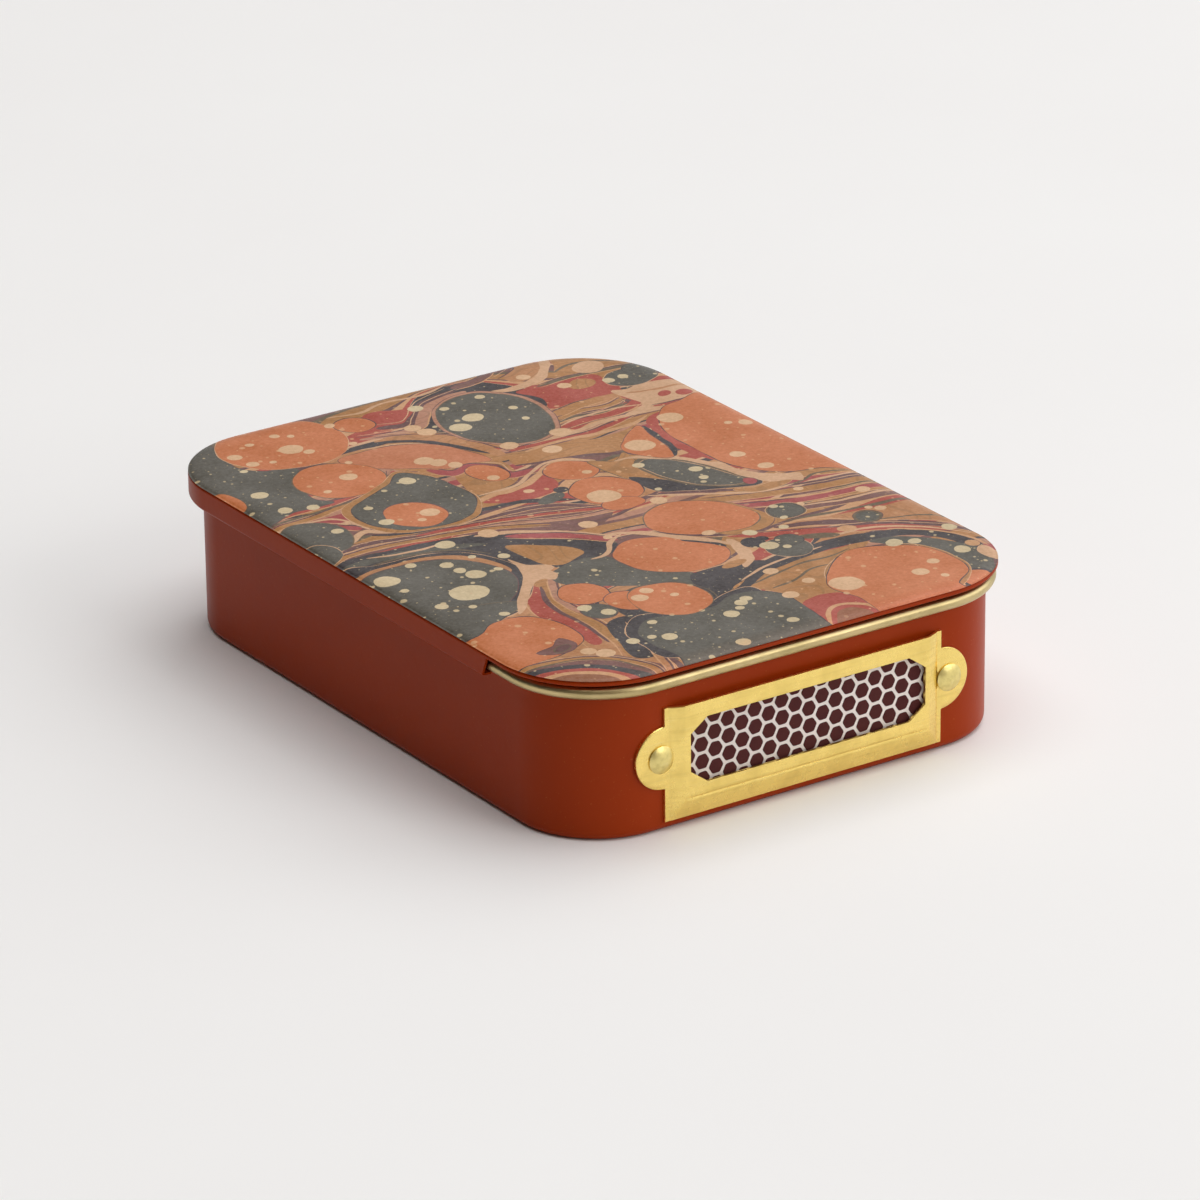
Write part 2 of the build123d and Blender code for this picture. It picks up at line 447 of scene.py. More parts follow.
# Inks that the spatter shows on, that are drawn out in lines, that take pale spatter, and that pearls stand out on
SPATTERED = {Ink.ORANGE, Ink.SLATE, Ink.NIGHT, Ink.RED, Ink.AMBER}
DRAWN_OUT = {Ink.AMBER, Ink.TAN, Ink.OCHRE, Ink.BLUSH, Ink.MAUVE}
PALE_SPATTERED = {Ink.SLATE, Ink.NIGHT, Ink.WINE}
DARK = {Ink.SLATE, Ink.NIGHT, Ink.WINE, Ink.OLIVE}


@dataclass(frozen=True)
class InkFinish:
    """One ink of the marbled sheet, on tooth paper under a semi-gloss coat."""

    ink: Ink
    depth: float = 0.26
    # Painted shade along the front edge: where it starts along the sheet, how wide it fades in, how deep it goes, and
    # its tint.
    painted_shade_start: float = -39.8
    painted_shade_width: float = 3.0
    painted_shade_depth: float = 0.8
    painted_shade_tint: Colour = (1.0, 0.72, 0.5)
    dot_edge: float = 0.09
    # Spacing and largest radius of the dots, and the share of places that have one.
    spatter: tuple[tuple[float, float, float], ...] = ((3.1, 0.42, 0.6), (1.5, 0.2, 0.65), (0.7, 0.09, 0.6))

    def material(self) -> bpy.types.Material:
        """Ink with soft clouds, faint drawn lines, painted shade along the front edge and fine spatter.

        Returns:
            The material.
        """
        tree = ShaderTree(f"marbled_{self.ink.name.lower()}")
        place = tree.place()
        tint = self.ink.colour
        deep = tuple(share * (1 - self.depth) for share in tint)
        pale = tuple(share + (1 - share) * self.depth * 0.3 for share in tint)
        soft = tree.cloud(place, size=6.0, detail=4.0, roughness=0.6)
        grain = tree.cloud(place, size=0.42, detail=3.0, roughness=0.7)
        colour = tree.mix(soft * 1.5 + grain * 1.6 - 1.05, deep, pale)
        if self.ink in DRAWN_OUT:
            bent = tree.drift(place, size=9.0, reach=0.6)
            drawn = (tree.cloud(bent, size=11.0, detail=1.0) * 95.0).sine()
            colour = colour.blend(Ink.OLIVE.colour, drawn.above(0.72, gain=3.0) * 0.3)
        # Painted shade: the ink is painted deeper and warmer towards the front edge, where the sheet bends down.
        front = ((self.painted_shade_start - place.dot((0.0, 1.0, 0.0))) / self.painted_shade_width).share() * self.painted_shade_depth
        colour = tree.mix(front, colour, self.painted_shade_tint, blend_type="MULTIPLY")
        colour = self._spattered(tree, place, colour)
        tooth = tree.cloud(place, size=0.3, detail=3.0)
        return tree.surface(
            Base_Color=colour,
            Roughness=0.3 + tooth * 0.1,
            Normal=tree.bump(tooth, depth=0.005, strength=0.5),
            Specular_IOR_Level=0.45,
        )

    def _spattered(self, tree: ShaderTree, place: Term, colour: Term) -> Term:
        """Lay three sizes of fine dots over the ink.

        Args:
            tree: The ink's nodes.
            place: Where a point lies on the object.
            colour: The ink without the dots.

        Returns:
            The ink with the dots.
        """
        speck = Ink.PEARL if self.ink in PALE_SPATTERED else Ink.CREAM
        strength = 0.75 if self.ink in SPATTERED else 0.3
        wet = tree.drift(place, size=2.0, reach=0.1)
        for spacing, largest, chance in self.spatter:
            settings, sockets = {"voronoi_dimensions": "2D"}, {"Vector": wet, "Scale": 1 / spacing}
            cells = tree.node("ShaderNodeTexVoronoi", settings, sockets, "Distance")
            luck = tree.node("ShaderNodeTexVoronoi", settings, sockets, "Color")
            size = (luck.dot((1.0, 0.0, 0.0)) - (1 - chance)).at_least(0.0) * (largest / spacing / chance)
            dot = ((size - cells) * (spacing / self.dot_edge)).share()
            colour = colour.blend(speck.colour, dot * strength)
        return colour


# Marbling, in millimetres

# Width, noise layer and reach of each of the bath's currents
CURRENTS = ((6.0, 2.0, 0.35), (1.7, 9.0, 0.11))
# Ink and width of the threads beside a vein, and how far to the left they run, as a share of the vein's width
THREADS = ((Ink.WINE, 0.22, 0.52), (Ink.PEACH, 0.16, -0.52), (Ink.CREAM, 0.12, 0.8))
UNTHREADED = {Ink.CREAM, Ink.PEACH, Ink.NIGHT, Ink.SLATE}
# How many points are tested against a loop at a time
BATCH = 4000


def flow(x: float, y: float) -> Point:
    """Where the bath's currents carry a point.

    Args:
        x: Place across the sheet.
        y: Place along the sheet.

    Returns:
        The moved point.
    """
    to_x, to_y = x, y
    for size, layer, reach in CURRENTS:
        push = noise.noise_vector(Vector((x / size, y / size, layer)))
        to_x += push.x * reach
        to_y += push.y * reach
    return to_x, to_y


def ripple(x: float, y: float, size: float, layer: float) -> float:
    """Noise from -1 to 1 at a point, with features of a size, from one of its layers."""
    return noise.noise(Vector((x / size, y / size, layer)))


def heading(start: Point, end: Point) -> Vector:
    """Direction from one point to another."""
    return Vector((end[0] - start[0], end[1] - start[1])).normalized()


def bearing(path: Sequence[Point], index: int) -> Vector:
    """Direction of an open path at one of its points."""
    return heading(path[max(index - 1, 0)], path[min(index + 1, len(path) - 1)])


def sides(loop: Sequence[Any]) -> Iterable[tuple[Any, Any]]:
    """Each corner of a loop together with the next."""
    return zip(loop, [*loop[1:], *loop[:1]])


def smooth_path(points: Sequence[Point], closed: bool, step: float = 0.45) -> list[Point]:
    """Round curve through points.

    Args:
        points: The points.
        closed: Whether the curve returns to its start.
        step: About how far apart the curve's points are.

    Returns:
        The curve's points.
    """
    count = len(points)
    found: list[Point] = []
    for index in range(count if closed else count - 1):
        around = range(index - 1, index + 3)
        chosen = [place % count if closed else min(max(place, 0), count - 1) for place in around]
        before, start, end, after = (Vector(points[place]) for place in chosen)
        steps = max(round((end - start).length / step), 2)
        for turn in range(steps):
            t = turn / steps
            point = (
                start * 2
                + (end - before) * t
                + (before * 2 - start * 5 + end * 4 - after) * t**2
                + (start * 3 - before - end * 3 + after) * t**3
            ) / 2
            found.append((point.x, point.y))
    if not closed:
        found.append(tuple(points[-1]))
    return found


def swollen(loop: Sequence[Point], extra: float, unevenness: float = 1.3) -> list[Point]:
    """Loop moved outwards by an uneven little.

    Args:
        loop: The loop.
        extra: About how far it is moved.
        unevenness: How much more or less than that, as a share.

    Returns:
        The larger loop.
    """
    area = sum(here[0] * there[1] - there[0] * here[1] for here, there in sides(loop))
    found = []
    for index, (x, y) in enumerate(loop):
        along = heading(loop[index - 1], loop[(index + 1) % len(loop)])
        reach = math.copysign(extra * (1 + unevenness * ripple(x, y, size=3.0, layer=5.0)), area)
        found.append((x + along.y * reach, y - along.x * reach))
    return found


def covered(points: np.ndarray, loop: Sequence[Point] | np.ndarray) -> np.ndarray:
    """Which points a loop winds round.

    Args:
        points: The points, one to a row.
        loop: The loop's corners.

    Returns:
        True for each point inside.
    """
    corners = np.array(loop)
    ahead = np.roll(corners, -1, axis=0)
    rise = np.where(corners[:, 1] == ahead[:, 1], 1.0, ahead[:, 1] - corners[:, 1])
    found = np.zeros(len(points), bool)
    for start in range(0, len(points), BATCH):
        x, y = points[start : start + BATCH, :1], points[start : start + BATCH, 1:]
        crosses = (corners[:, 1] > y) != (ahead[:, 1] > y)
        where = (ahead[:, 0] - corners[:, 0]) * (y - corners[:, 1]) / rise + corners[:, 0]
        turns = ((crosses & (x < where)) * np.sign(rise)).sum(axis=1)
        found[start : start + BATCH] = turns != 0
    return found


@dataclass(frozen=True)
class Drop:
    """Drop of ink, an oval a little out of true."""

    x: float
    y: float
    across: float
    along: float
    ink: Ink
    turn: float = 0.0
    chord: float = 0.5
    fewest: int = 12
    most: int = 80
    unevenness: float = 0.07

    def outline(self) -> list[Point]:
        """Outline on the sheet, anticlockwise.

        Returns:
            The outline's points.
        """
        steps = round(math.tau * max(self.across, self.along) / self.chord)
        steps = min(max(steps, self.fewest), self.most)
        cosine, sine = math.cos(math.radians(self.turn)), math.sin(math.radians(self.turn))
        points = []
        for step in range(steps):
            angle = math.tau * step / steps
            spot = (math.cos(angle) * 1.2 + self.x, math.sin(angle) * 1.2 + self.y)
            swell = 1 + self.unevenness * ripple(*spot, size=1.0, layer=4.0)
            u, v = self.across * swell * math.cos(angle), self.along * swell * math.sin(angle)
            points.append(flow(self.x + u * cosine - v * sine, self.y + u * sine + v * cosine))
        return points

    def pushed(self, x: float, y: float, room: float) -> Point:
        """Where a point of the bath goes when this drop falls.

        Args:
            x: Place across.
            y: Place along.
            room: Share of the drop's area that it makes for itself.

        Returns:
            The point's new place.
        """
        turn = math.radians(self.turn)
        dx, dy = x - self.x, y - self.y
        u = (dx * math.cos(turn) + dy * math.sin(turn)) / self.across
        v = (dy * math.cos(turn) - dx * math.sin(turn)) / self.along
        grow = math.sqrt(1 + room / max(u * u + v * v, 1e-4))
        return self.x + dx * grow, self.y + dy * grow


@dataclass(frozen=True)
class Vein:
    """Thread of ink, drawn out to a point at both ends."""

    ink: Ink
    width: float
    path: tuple[Point, ...]
    taper: float = 0.22
    unevenness: float = 0.45
    least_half: float = 0.015
    threaded_from: float = 0.8

    def threads(self) -> list["Vein"]:
        """Thin dark and pale threads that run beside the vein.

        Returns:
            The threads, or none where the vein is narrow or of a plain ink.
        """
        if self.width < self.threaded_from or self.ink in UNTHREADED:
            return []
        beside = []
        for ink, width, share in THREADS:
            if ink is self.ink:
                continue
            reach = self.width * share
            path = []
            for index, (x, y) in enumerate(self.path):
                along = bearing(self.path, index)
                path.append((x - along.y * reach, y + along.x * reach))
            beside.append(Vein(ink, width, tuple(path)))
        return beside

    def outline(self) -> list[Point]:
        """Outline on the sheet, along one bank and back along the other.

        Returns:
            The outline's points.
        """
        middle = smooth_path(self.path, closed=False)
        last = len(middle) - 1
        left, right = [], []
        for index, (x, y) in enumerate(middle):
            along = bearing(middle, index)
            share = min(index / last, 1 - index / last) / self.taper
            swell = 1 + self.unevenness * ripple(x, y, size=2.2, layer=self.width)
            half = self.width / 2 * math.sqrt(min(share, 1.0)) * swell + self.least_half
            left.append(flow(x - along.y * half, y + along.x * half))
            right.append(flow(x + along.y * half, y - along.x * half))
        return left + right[::-1]


@dataclass(frozen=True)
class Pool:
    """Patch of ink with a free outline."""

    ink: Ink
    path: tuple[Point, ...]
    step: float = 0.6

    def outline(self) -> list[Point]:
        """Outline on the sheet."""
        return [flow(x, y) for x, y in smooth_path(self.path, closed=True, step=self.step)]


# Width and ink of the bands of ground ink, from the back of the sheet to its front
GROUND: tuple[tuple[float, Ink], ...] = (
    (1.3, Ink.TAN),
    (0.5, Ink.WINE),
    (1.2, Ink.RED),
    (0.4, Ink.PEACH),
    (0.9, Ink.BLUSH),
    (0.5, Ink.MAUVE),
    (1.5, Ink.AMBER),
    (0.3, Ink.NIGHT),
    (0.8, Ink.BLUSH),
    (1.1, Ink.CRIMSON),
    (0.4, Ink.CREAM),
    (0.6, Ink.WINE),
    (1.2, Ink.MAUVE),
    (0.5, Ink.OLIVE),
    (1.6, Ink.OCHRE),
    (0.4, Ink.WINE),
    (0.8, Ink.PEACH),
    (1.3, Ink.RED),
    (0.3, Ink.CREAM),
    (0.7, Ink.NIGHT),
)

# Shapes on the ground, from the lowest up
STREAMS: tuple[Vein | Pool | Drop, ...] = (
    # Middle: long streams from the left edge down to the right edge
    Pool(Ink.MAUVE, (
        (-34, 4.5), (-27, 6.5), (-20, 5), (-12, 4.5), (-5, 5), (0, 2), (2, -2), (-3, -5), (-10, -1.5), (-18, 2.5),
        (-26, 3), (-34, 1),
    )),
    Vein(Ink.WINE, 0.8, ((-34, 3.6), (-26, 5.6), (-18, 3.6), (-10, 4.2), (-3, 3.2), (1, 0))),
    Vein(Ink.RED, 0.9, ((-20, 4.4), (-12, 3.4), (-6, 1.8), (-1, 0.2), (3, -1.5))),
    Vein(Ink.BLUSH, 0.8, ((-14, 2.6), (-9, 1.4), (-5, -0.6), (-1, -1.6), (5, -1.8), (10, -1))),
    Vein(Ink.OCHRE, 0.9, ((-34, 2.2), (-27, 4.2), (-19, 3), (-12, 1.6), (-6, -1.6))),
    Vein(Ink.WINE, 0.7, ((-4, -3.2), (0, -3.6), (4, -2.6), (8, -0.8), (13, -2.6), (18, -5.6), (25, -8), (34, -9))),
    Vein(Ink.OCHRE, 1.6, ((12, -5.5), (18, -7.8), (25, -9.6), (34, -10.8))),
    Vein(Ink.AMBER, 2.0, ((20, -5.5), (25, -5.2), (29, -6.4), (34, -8))),
    Vein(Ink.OLIVE, 0.4, ((14, -4.5), (19, -6.8), (24, -7.2), (27, -6.2), (31, -7.5))),
    Vein(Ink.CRIMSON, 1.5, ((9, -6.5), (15, -9.6), (22, -11.8), (34, -13.4))),
    Vein(Ink.PEACH, 0.4, ((15, -8.2), (21, -10.6), (27, -11.8), (34, -12))),
    Vein(Ink.MAUVE, 1.6, ((14, -11), (20, -13.8), (27, -15.2), (34, -16.4))),
    Vein(Ink.CREAM, 0.4, ((19, -12.8), (25, -14.4), (34, -15.2))),
    Vein(Ink.OLIVE, 0.6, ((16, -15.8), (21, -16.8), (27, -17.6), (34, -18.4))),
    Pool(Ink.TAN, ((15, -16.5), (21, -17.6), (28, -18.6), (34, -19.5), (34, -28), (28, -24), (22, -20.5), (16, -18.6))),
    Vein(Ink.OLIVE, 0.35, ((20, -18.6), (25, -21.6), (29, -23), (33, -25.5))),
    Vein(Ink.WINE, 1.3, ((14, -16.6), (19, -18.6), (23.5, -22), (29, -26.2), (32, -30))),
    Vein(Ink.RED, 1.8, ((8, -16), (13, -18.4), (18, -20.6), (24, -23.6), (30, -28.8))),
    Vein(Ink.CREAM, 0.45, ((12, -19), (17, -22), (22, -22.6), (27, -25.8), (31, -30.5))),
    Drop(16.5, -21.5, 2.4, 0.8, Ink.OLIVE, -22),
    Drop(20.3, -21.4, 1.2, 0.8, Ink.PEACH, -20),
    # Middle left: navy stream, spindle and pale vein
    Pool(Ink.NIGHT, (
        (-34, 1.6), (-29, 3), (-23, 2.6), (-17, 1.5), (-11, -1.2), (-6, -5), (-3, -9), (-4.5, -12), (-9, -13.2),
        (-13, -13.6), (-16, -12), (-17, -7), (-20, -3.4), (-26, -1.4), (-34, -2),
    )),
    Vein(Ink.SLATE, 1.5, ((-33, 0.6), (-26, 1.2), (-20, -0.4), (-15, -2.2))),
    Vein(Ink.CREAM, 0.4, ((-28, 2.2), (-24.5, 1.2), (-21.5, 0.8), (-18.5, 0.9))),
    Vein(Ink.OLIVE, 0.3, ((-31, -0.6), (-25, 0.2), (-19, -1.6), (-16, -5))),
    Vein(Ink.CREAM, 0.9, ((-15, 0.6), (-11, -0.6), (-7.5, -3.2), (-4, -6.5), (-1.5, -8.6))),
    Vein(Ink.CRIMSON, 1.5, ((-12, -1.4), (-8, -4), (-5, -6.6), (-2.4, -9.6))),
    Pool(Ink.OCHRE, (
        (-13.6, -4), (-11, -5.2), (-8, -7.8), (-7.3, -10.2), (-8.6, -11.2), (-11.4, -12), (-13, -10.4), (-13.6, -7.4),
    )),
    # Front left: streams between the drops
    Pool(Ink.TAN, (
        (-15, -10), (-12, -13.2), (-14, -17), (-17, -21), (-18, -27), (-16, -31), (-17, -36), (-18, -44), (-34, -44),
        (-34, -20), (-24, -21), (-19, -15),
    )),
    Vein(Ink.RED, 2.6, ((-15.4, -12), (-18.6, -17), (-20.4, -22), (-20.2, -28), (-20.6, -33))),
    Vein(Ink.OCHRE, 1.4, ((-14.6, -12.6), (-17, -17.4), (-18.2, -23), (-18, -28), (-18.6, -34), (-20, -38))),
    Vein(Ink.WINE, 0.5, ((-16.8, -15.4), (-19, -21), (-19, -27), (-19.4, -33))),
    Vein(Ink.BLUSH, 1.1, ((-13.4, -12.8), (-15.4, -16), (-17.2, -20), (-17.4, -25))),
    Drop(-15.6, -13.8, 2.6, 0.9, Ink.AMBER, 50),
    Pool(Ink.SLATE, (
        (-14, -13.4), (-10, -12), (-6.4, -12.6), (-5, -16), (-3.4, -19.6), (-0.8, -22.4), (-1, -24.6), (-4, -25),
        (-8, -22), (-12, -19), (-14.6, -16.4),
    )),
    Vein(Ink.CREAM, 0.6, ((-8, -12.7), (-6.2, -12.5), (-4.8, -11.2), (-3.6, -9.6), (-1, -8.4)), 0.3),
    Pool(Ink.NIGHT, ((-2, -23), (1, -22.4), (5, -22.8), (7.6, -24.4), (4, -27), (-1, -29), (-4.4, -30.6), (-3.4, -27))),
    # Left front corner
    Pool(Ink.MAUVE, ((-34, -32.6), (-28, -33.6), (-23, -34.6), (-19.6, -38), (-18.6, -44), (-34, -44))),
    Vein(Ink.OCHRE, 0.9, ((-34, -33), (-27, -34), (-22.5, -36), (-19.6, -40), (-19.4, -44))),
    Vein(Ink.OLIVE, 0.3, ((-34, -33.8), (-26, -34.6), (-21.6, -37.4), (-20, -42))),
    Pool(Ink.NIGHT, ((-34, -34.4), (-29, -34.7), (-25, -36.4), (-22, -39.6), (-20.8, -44), (-34, -44))),
    Pool(Ink.RED, ((-34, -35.3), (-29, -35.7), (-25.4, -37.4), (-22.8, -40.4), (-22, -44), (-34, -44))),
    Pool(Ink.PEACH, ((-33, -36.3), (-28.6, -36.6), (-25.4, -38.4), (-23.2, -41), (-23, -44), (-34, -44))),
    Pool(Ink.LENS, ((-33, -36.9), (-28.8, -37.2), (-26, -38.8), (-23.8, -41.4), (-24, -44), (-34, -44))),
    # Front middle: dark column and threads
    Pool(Ink.NIGHT, (
        (-17, -28.6), (-13.5, -28.2), (-14.5, -31), (-15.6, -34.6), (-16.6, -38.4), (-19.4, -38), (-18.6, -33.6),
    )),
    Vein(Ink.WINE, 0.9, ((-14.6, -29.4), (-15.6, -33), (-16.4, -37), (-16.6, -44))),
    Vein(Ink.TAN, 0.8, ((-15.4, -34), (-17, -38.4), (-18.4, -44))),
    Pool(Ink.AMBER, (
        (0, -28.4), (5, -26.8), (10, -25.6), (16, -25.6), (20, -25.8), (17, -28), (13, -30.8), (10.4, -34), (8, -36),
        (4.6, -36), (3.6, -33), (2.4, -30.6),
    )),
    Vein(Ink.OLIVE, 0.35, ((1.6, -29), (6, -28), (10, -27), (14, -27), (17, -26.4))),
    Vein(Ink.OLIVE, 0.3, ((3.4, -31), (7, -30.4), (10, -29), (12.6, -28.8))),
    Pool(Ink.RED, ((3.4, -36.4), (6, -35.4), (9, -36.4), (10.4, -39), (11.4, -44), (1.8, -44), (2.8, -40))),
    Vein(Ink.PEACH, 0.6, ((2.4, -44), (3.6, -40.8), (5.4, -38.8), (7.2, -38.8), (9.2, -40.6), (10.2, -44))),
    Pool(Ink.LENS, ((3.6, -44), (4.6, -41), (6.2, -39.8), (7.8, -40.6), (9, -44))),
    # Right: dark stream round the large drop at the front
    Pool(Ink.NIGHT, (
        (-3, -29.4), (1, -28.4), (5, -25.6), (10, -23.8), (14, -23.4), (18, -23), (22, -24), (26, -26), (29, -29.6),
        (30, -34), (28.4, -34.6), (27.6, -31), (25, -27.6), (21, -26), (16, -25.4), (10, -26), (5, -27.4), (1, -29.6),
    )),
    Vein(Ink.CREAM, 0.35, ((2, -27.4), (6, -25.6), (11, -24.6), (15, -24.4))),
    Vein(Ink.PEACH, 0.4, ((24, -24.4), (28, -28), (30, -31.6), (30.4, -34.6))),
    Pool(Ink.SLATE, (
        (20, -26), (23, -26.6), (26, -29.4), (28.6, -33.4), (28.8, -37), (27, -40), (25.4, -44), (22, -44),
        (24, -39.6), (25, -36), (24, -32), (22, -28.8),
    )),
    Drop(29.2, -36, 1.1, 1.9, Ink.CREAM, -12),
    Drop(29.2, -33.2, 0.8, 0.9, Ink.PEACH),
    Drop(23.6, -40.8, 2.5, 2.1, Ink.NIGHT),
    Drop(23.7, -41, 2.0, 1.7, Ink.ORANGE),
    # Pale vein between the large drops right of the middle
    Vein(Ink.CREAM, 1.5, ((7.6, -16.6), (7.4, -19), (6.6, -22), (4.6, -24.4)), 0.3),
    Vein(Ink.WINE, 0.8, ((1.6, -9.4), (4.6, -12.6), (8, -15.4), (13, -16.6))),
    Drop(4.2, -22.9, 1.8, 0.7, Ink.AMBER, 10),
    Drop(9.3, -19.2, 1.4, 1.5, Ink.NIGHT),
    Drop(10.9, -18.7, 0.8, 0.7, Ink.NIGHT),
    # Back right: streams
    Pool(Ink.AMBER, (
        (1.6, 18.4), (6, 18.6), (11, 17.6), (17, 17.6), (19.4, 18.4), (17, 14), (13.6, 12.8), (9, 13.8), (5, 14.6),
        (1, 15.4),
    )),
    Vein(Ink.WINE, 0.7, ((0.6, 15.6), (5, 14.6), (9.6, 13.6), (12.6, 12), (15, 9.6), (17, 7))),
    Vein(Ink.RED, 1.0, ((2.4, 19.8), (8, 19.8), (14, 19.4), (21, 21.4))),
    Vein(Ink.PEACH, 0.7, ((4, 18.6), (9, 19.2), (14, 18.6), (19, 18.8), (22, 20))),
    Vein(Ink.CREAM, 0.7, ((6, 20.4), (12, 20.6), (18, 21.4), (24, 20.8))),
    Vein(Ink.WINE, 0.5, ((6, 21.2), (12, 22), (18, 22.2), (22, 21.6))),
    Vein(Ink.RED, 1.6, ((10.6, 22.4), (15, 23), (20, 23), (23.6, 24.6), (23, 27))),
    Vein(Ink.OLIVE, 0.8, ((11.4, 24), (14.6, 24.8), (18, 24), (22.4, 24.6))),
    Vein(Ink.OCHRE, 1.0, ((12.4, 25), (16, 26), (20, 25.4), (23, 26.4))),
    Vein(Ink.AMBER, 1.8, ((13, 26.4), (17, 27.6), (21, 27.8))),
    Vein(Ink.CREAM, 0.4, ((11.4, 23), (15.6, 24.2), (20, 24), (24, 23))),
    Pool(Ink.RED, ((13.6, 35), (15, 31.6), (14, 28.4), (18, 28.8), (24, 28.6), (24.4, 32), (24, 35), (18, 35.4))),
    Drop(21.4, 33, 2.0, 1.4, Ink.AMBER, 10),
    Pool(Ink.CREAM, (
        (22.8, 29), (24.8, 28.6), (27, 29), (31, 28.4), (34, 28), (34, 21.4), (29, 20.8), (24, 20.6), (20, 21.6),
        (23.6, 23.4),
    )),
    Drop(27.6, 24.8, 1.0, 0.7, Ink.RED, 30),
    Drop(29.8, 24, 1.2, 0.9, Ink.RED, 10),
    Vein(Ink.RED, 0.9, ((24, 22), (27, 21.8), (30, 22), (34, 22.6))),
    Vein(Ink.TAN, 0.4, ((24, 27.6), (28, 26.4), (33, 26.6))),
    Vein(Ink.TAN, 3.2, ((15, 38.6), (19, 41), (20, 44))),
    Vein(Ink.MAUVE, 1.4, ((8, 40.6), (12, 41), (15, 43.4))),
    Vein(Ink.CREAM, 1.3, ((11, 37), (14, 36.2), (18, 37.4), (21, 40.4), (23, 44))),
    Vein(Ink.OLIVE, 0.9, ((16.4, 35), (20, 35.6), (25, 35.6), (30, 35), (34, 35))),
    Pool(Ink.AMBER, ((20, 36.6), (24, 36.4), (30, 36), (33, 37), (31, 41), (27, 44), (23.6, 44), (22, 40))),
    Vein(Ink.OLIVE, 0.5, ((20.6, 38), (23.6, 39.4), (26.6, 38.8), (30, 37))),
    Drop(25.2, 37.3, 2.3, 1.9, Ink.CREAM, 20),
    # Back middle
    Vein(Ink.CREAM, 0.5, ((-9, 41), (-5, 40.2), (-1, 41.4), (4, 41), (9, 42.4))),
    Pool(Ink.RED, ((-5.6, 38.6), (-3.6, 39.6), (-0.4, 38.4), (1.6, 38), (0, 36.4), (-3, 35.6), (-6, 36))),
    Vein(Ink.WINE, 1.6, ((-6, 34.8), (-2.6, 34), (0, 35.4), (3, 38.4), (8, 40))),
    Vein(Ink.BLUSH, 1.6, ((-9.6, 33), (-5, 32), (-1.6, 32.6), (0.6, 35), (3.6, 37.6), (9, 39))),
    Vein(Ink.TAN, 2.6, ((-8.6, 31.4), (-4, 29.6), (-1, 27), (0.4, 23), (1.4, 19))),
    # Back left: ground behind the drops
    Pool(Ink.AMBER, ((-13, 29), (-8, 30), (-4, 28), (-1.4, 24), (0.4, 19.4), (-3, 17), (-8, 20), (-11, 22.4))),
    Vein(Ink.NIGHT, 0.9, ((-11.6, 31), (-7.6, 30.6), (-4.6, 28.8), (-2.4, 26), (-0.6, 23), (0.4, 20.6))),
    Vein(Ink.CREAM, 0.25, ((-11, 30.2), (-7.4, 29.6), (-4.6, 27.8), (-3, 25.4))),
    Vein(Ink.RED, 1.6, ((-34, 17.8), (-26, 18.4), (-19, 17.8), (-14, 19.4), (-11.4, 22.4))),
    Vein(Ink.OCHRE, 1.0, ((-34, 15.6), (-26, 15.8), (-20, 17), (-14, 18.4))),
    Vein(Ink.OLIVE, 0.5, ((-34, 16.6), (-26, 16.8), (-20, 17.2))),
    Vein(Ink.CREAM, 0.5, ((-31, 14.2), (-27, 14.8), (-24, 13.4), (-23, 9))),
    Vein(Ink.CRIMSON, 1.4, ((-30, 14.6), (-26.6, 12.6), (-23.6, 9.8))),
    Pool(Ink.AMBER, ((-6, 18.6), (-3.6, 20), (0, 18), (-0.6, 13), (-4, 10.8), (-8, 10.8), (-7.4, 15))),
    Vein(Ink.CRIMSON, 1.7, ((-8.4, 20.6), (-6.4, 18), (-3.6, 18.6), (-1.6, 16.8), (-1.2, 13.6), (3, 13.4))),
    Pool(Ink.RED, ((-8.6, 8.4), (-5, 9.4), (-1.6, 10), (1.4, 12), (1.6, 8.6), (-1, 6.4), (-5, 6.4))),
    Vein(Ink.PEACH, 0.9, ((-10, 8.4), (-7, 9.6), (-3, 9.8), (1, 11.6), (4, 13.6), (6.4, 14), (9, 11.8)), 0.15),
    Vein(Ink.CREAM, 0.5, ((-8, 10.4), (-3, 10.6), (0.6, 12.6), (4, 14.4), (7, 13.6), (10, 10))),
    Vein(Ink.NIGHT, 1.0, ((-12, 7.6), (-8, 6.4), (-5, 6.2), (-2, 4.6), (0.6, 3))),
    Drop(-1.6, 5, 2.1, 1.1, Ink.SLATE, 20),
    Drop(0.6, 6.6, 0.9, 0.9, Ink.NIGHT),
    Vein(Ink.WINE, 0.6, ((-25, 8.6), (-20, 5.8), (-15, 5), (-10, 5.8), (-6, 6))),
    Vein(Ink.CREAM, 0.9, ((-31, 4.4), (-27, 7), (-24, 8.8), (-22.6, 8), (-20, 6.4), (-16, 5.6)), 0.3),
    Vein(Ink.NIGHT, 0.5, ((-24, 7.6), (-19, 5.2), (-12, 5.2), (-9.6, 7))),
)

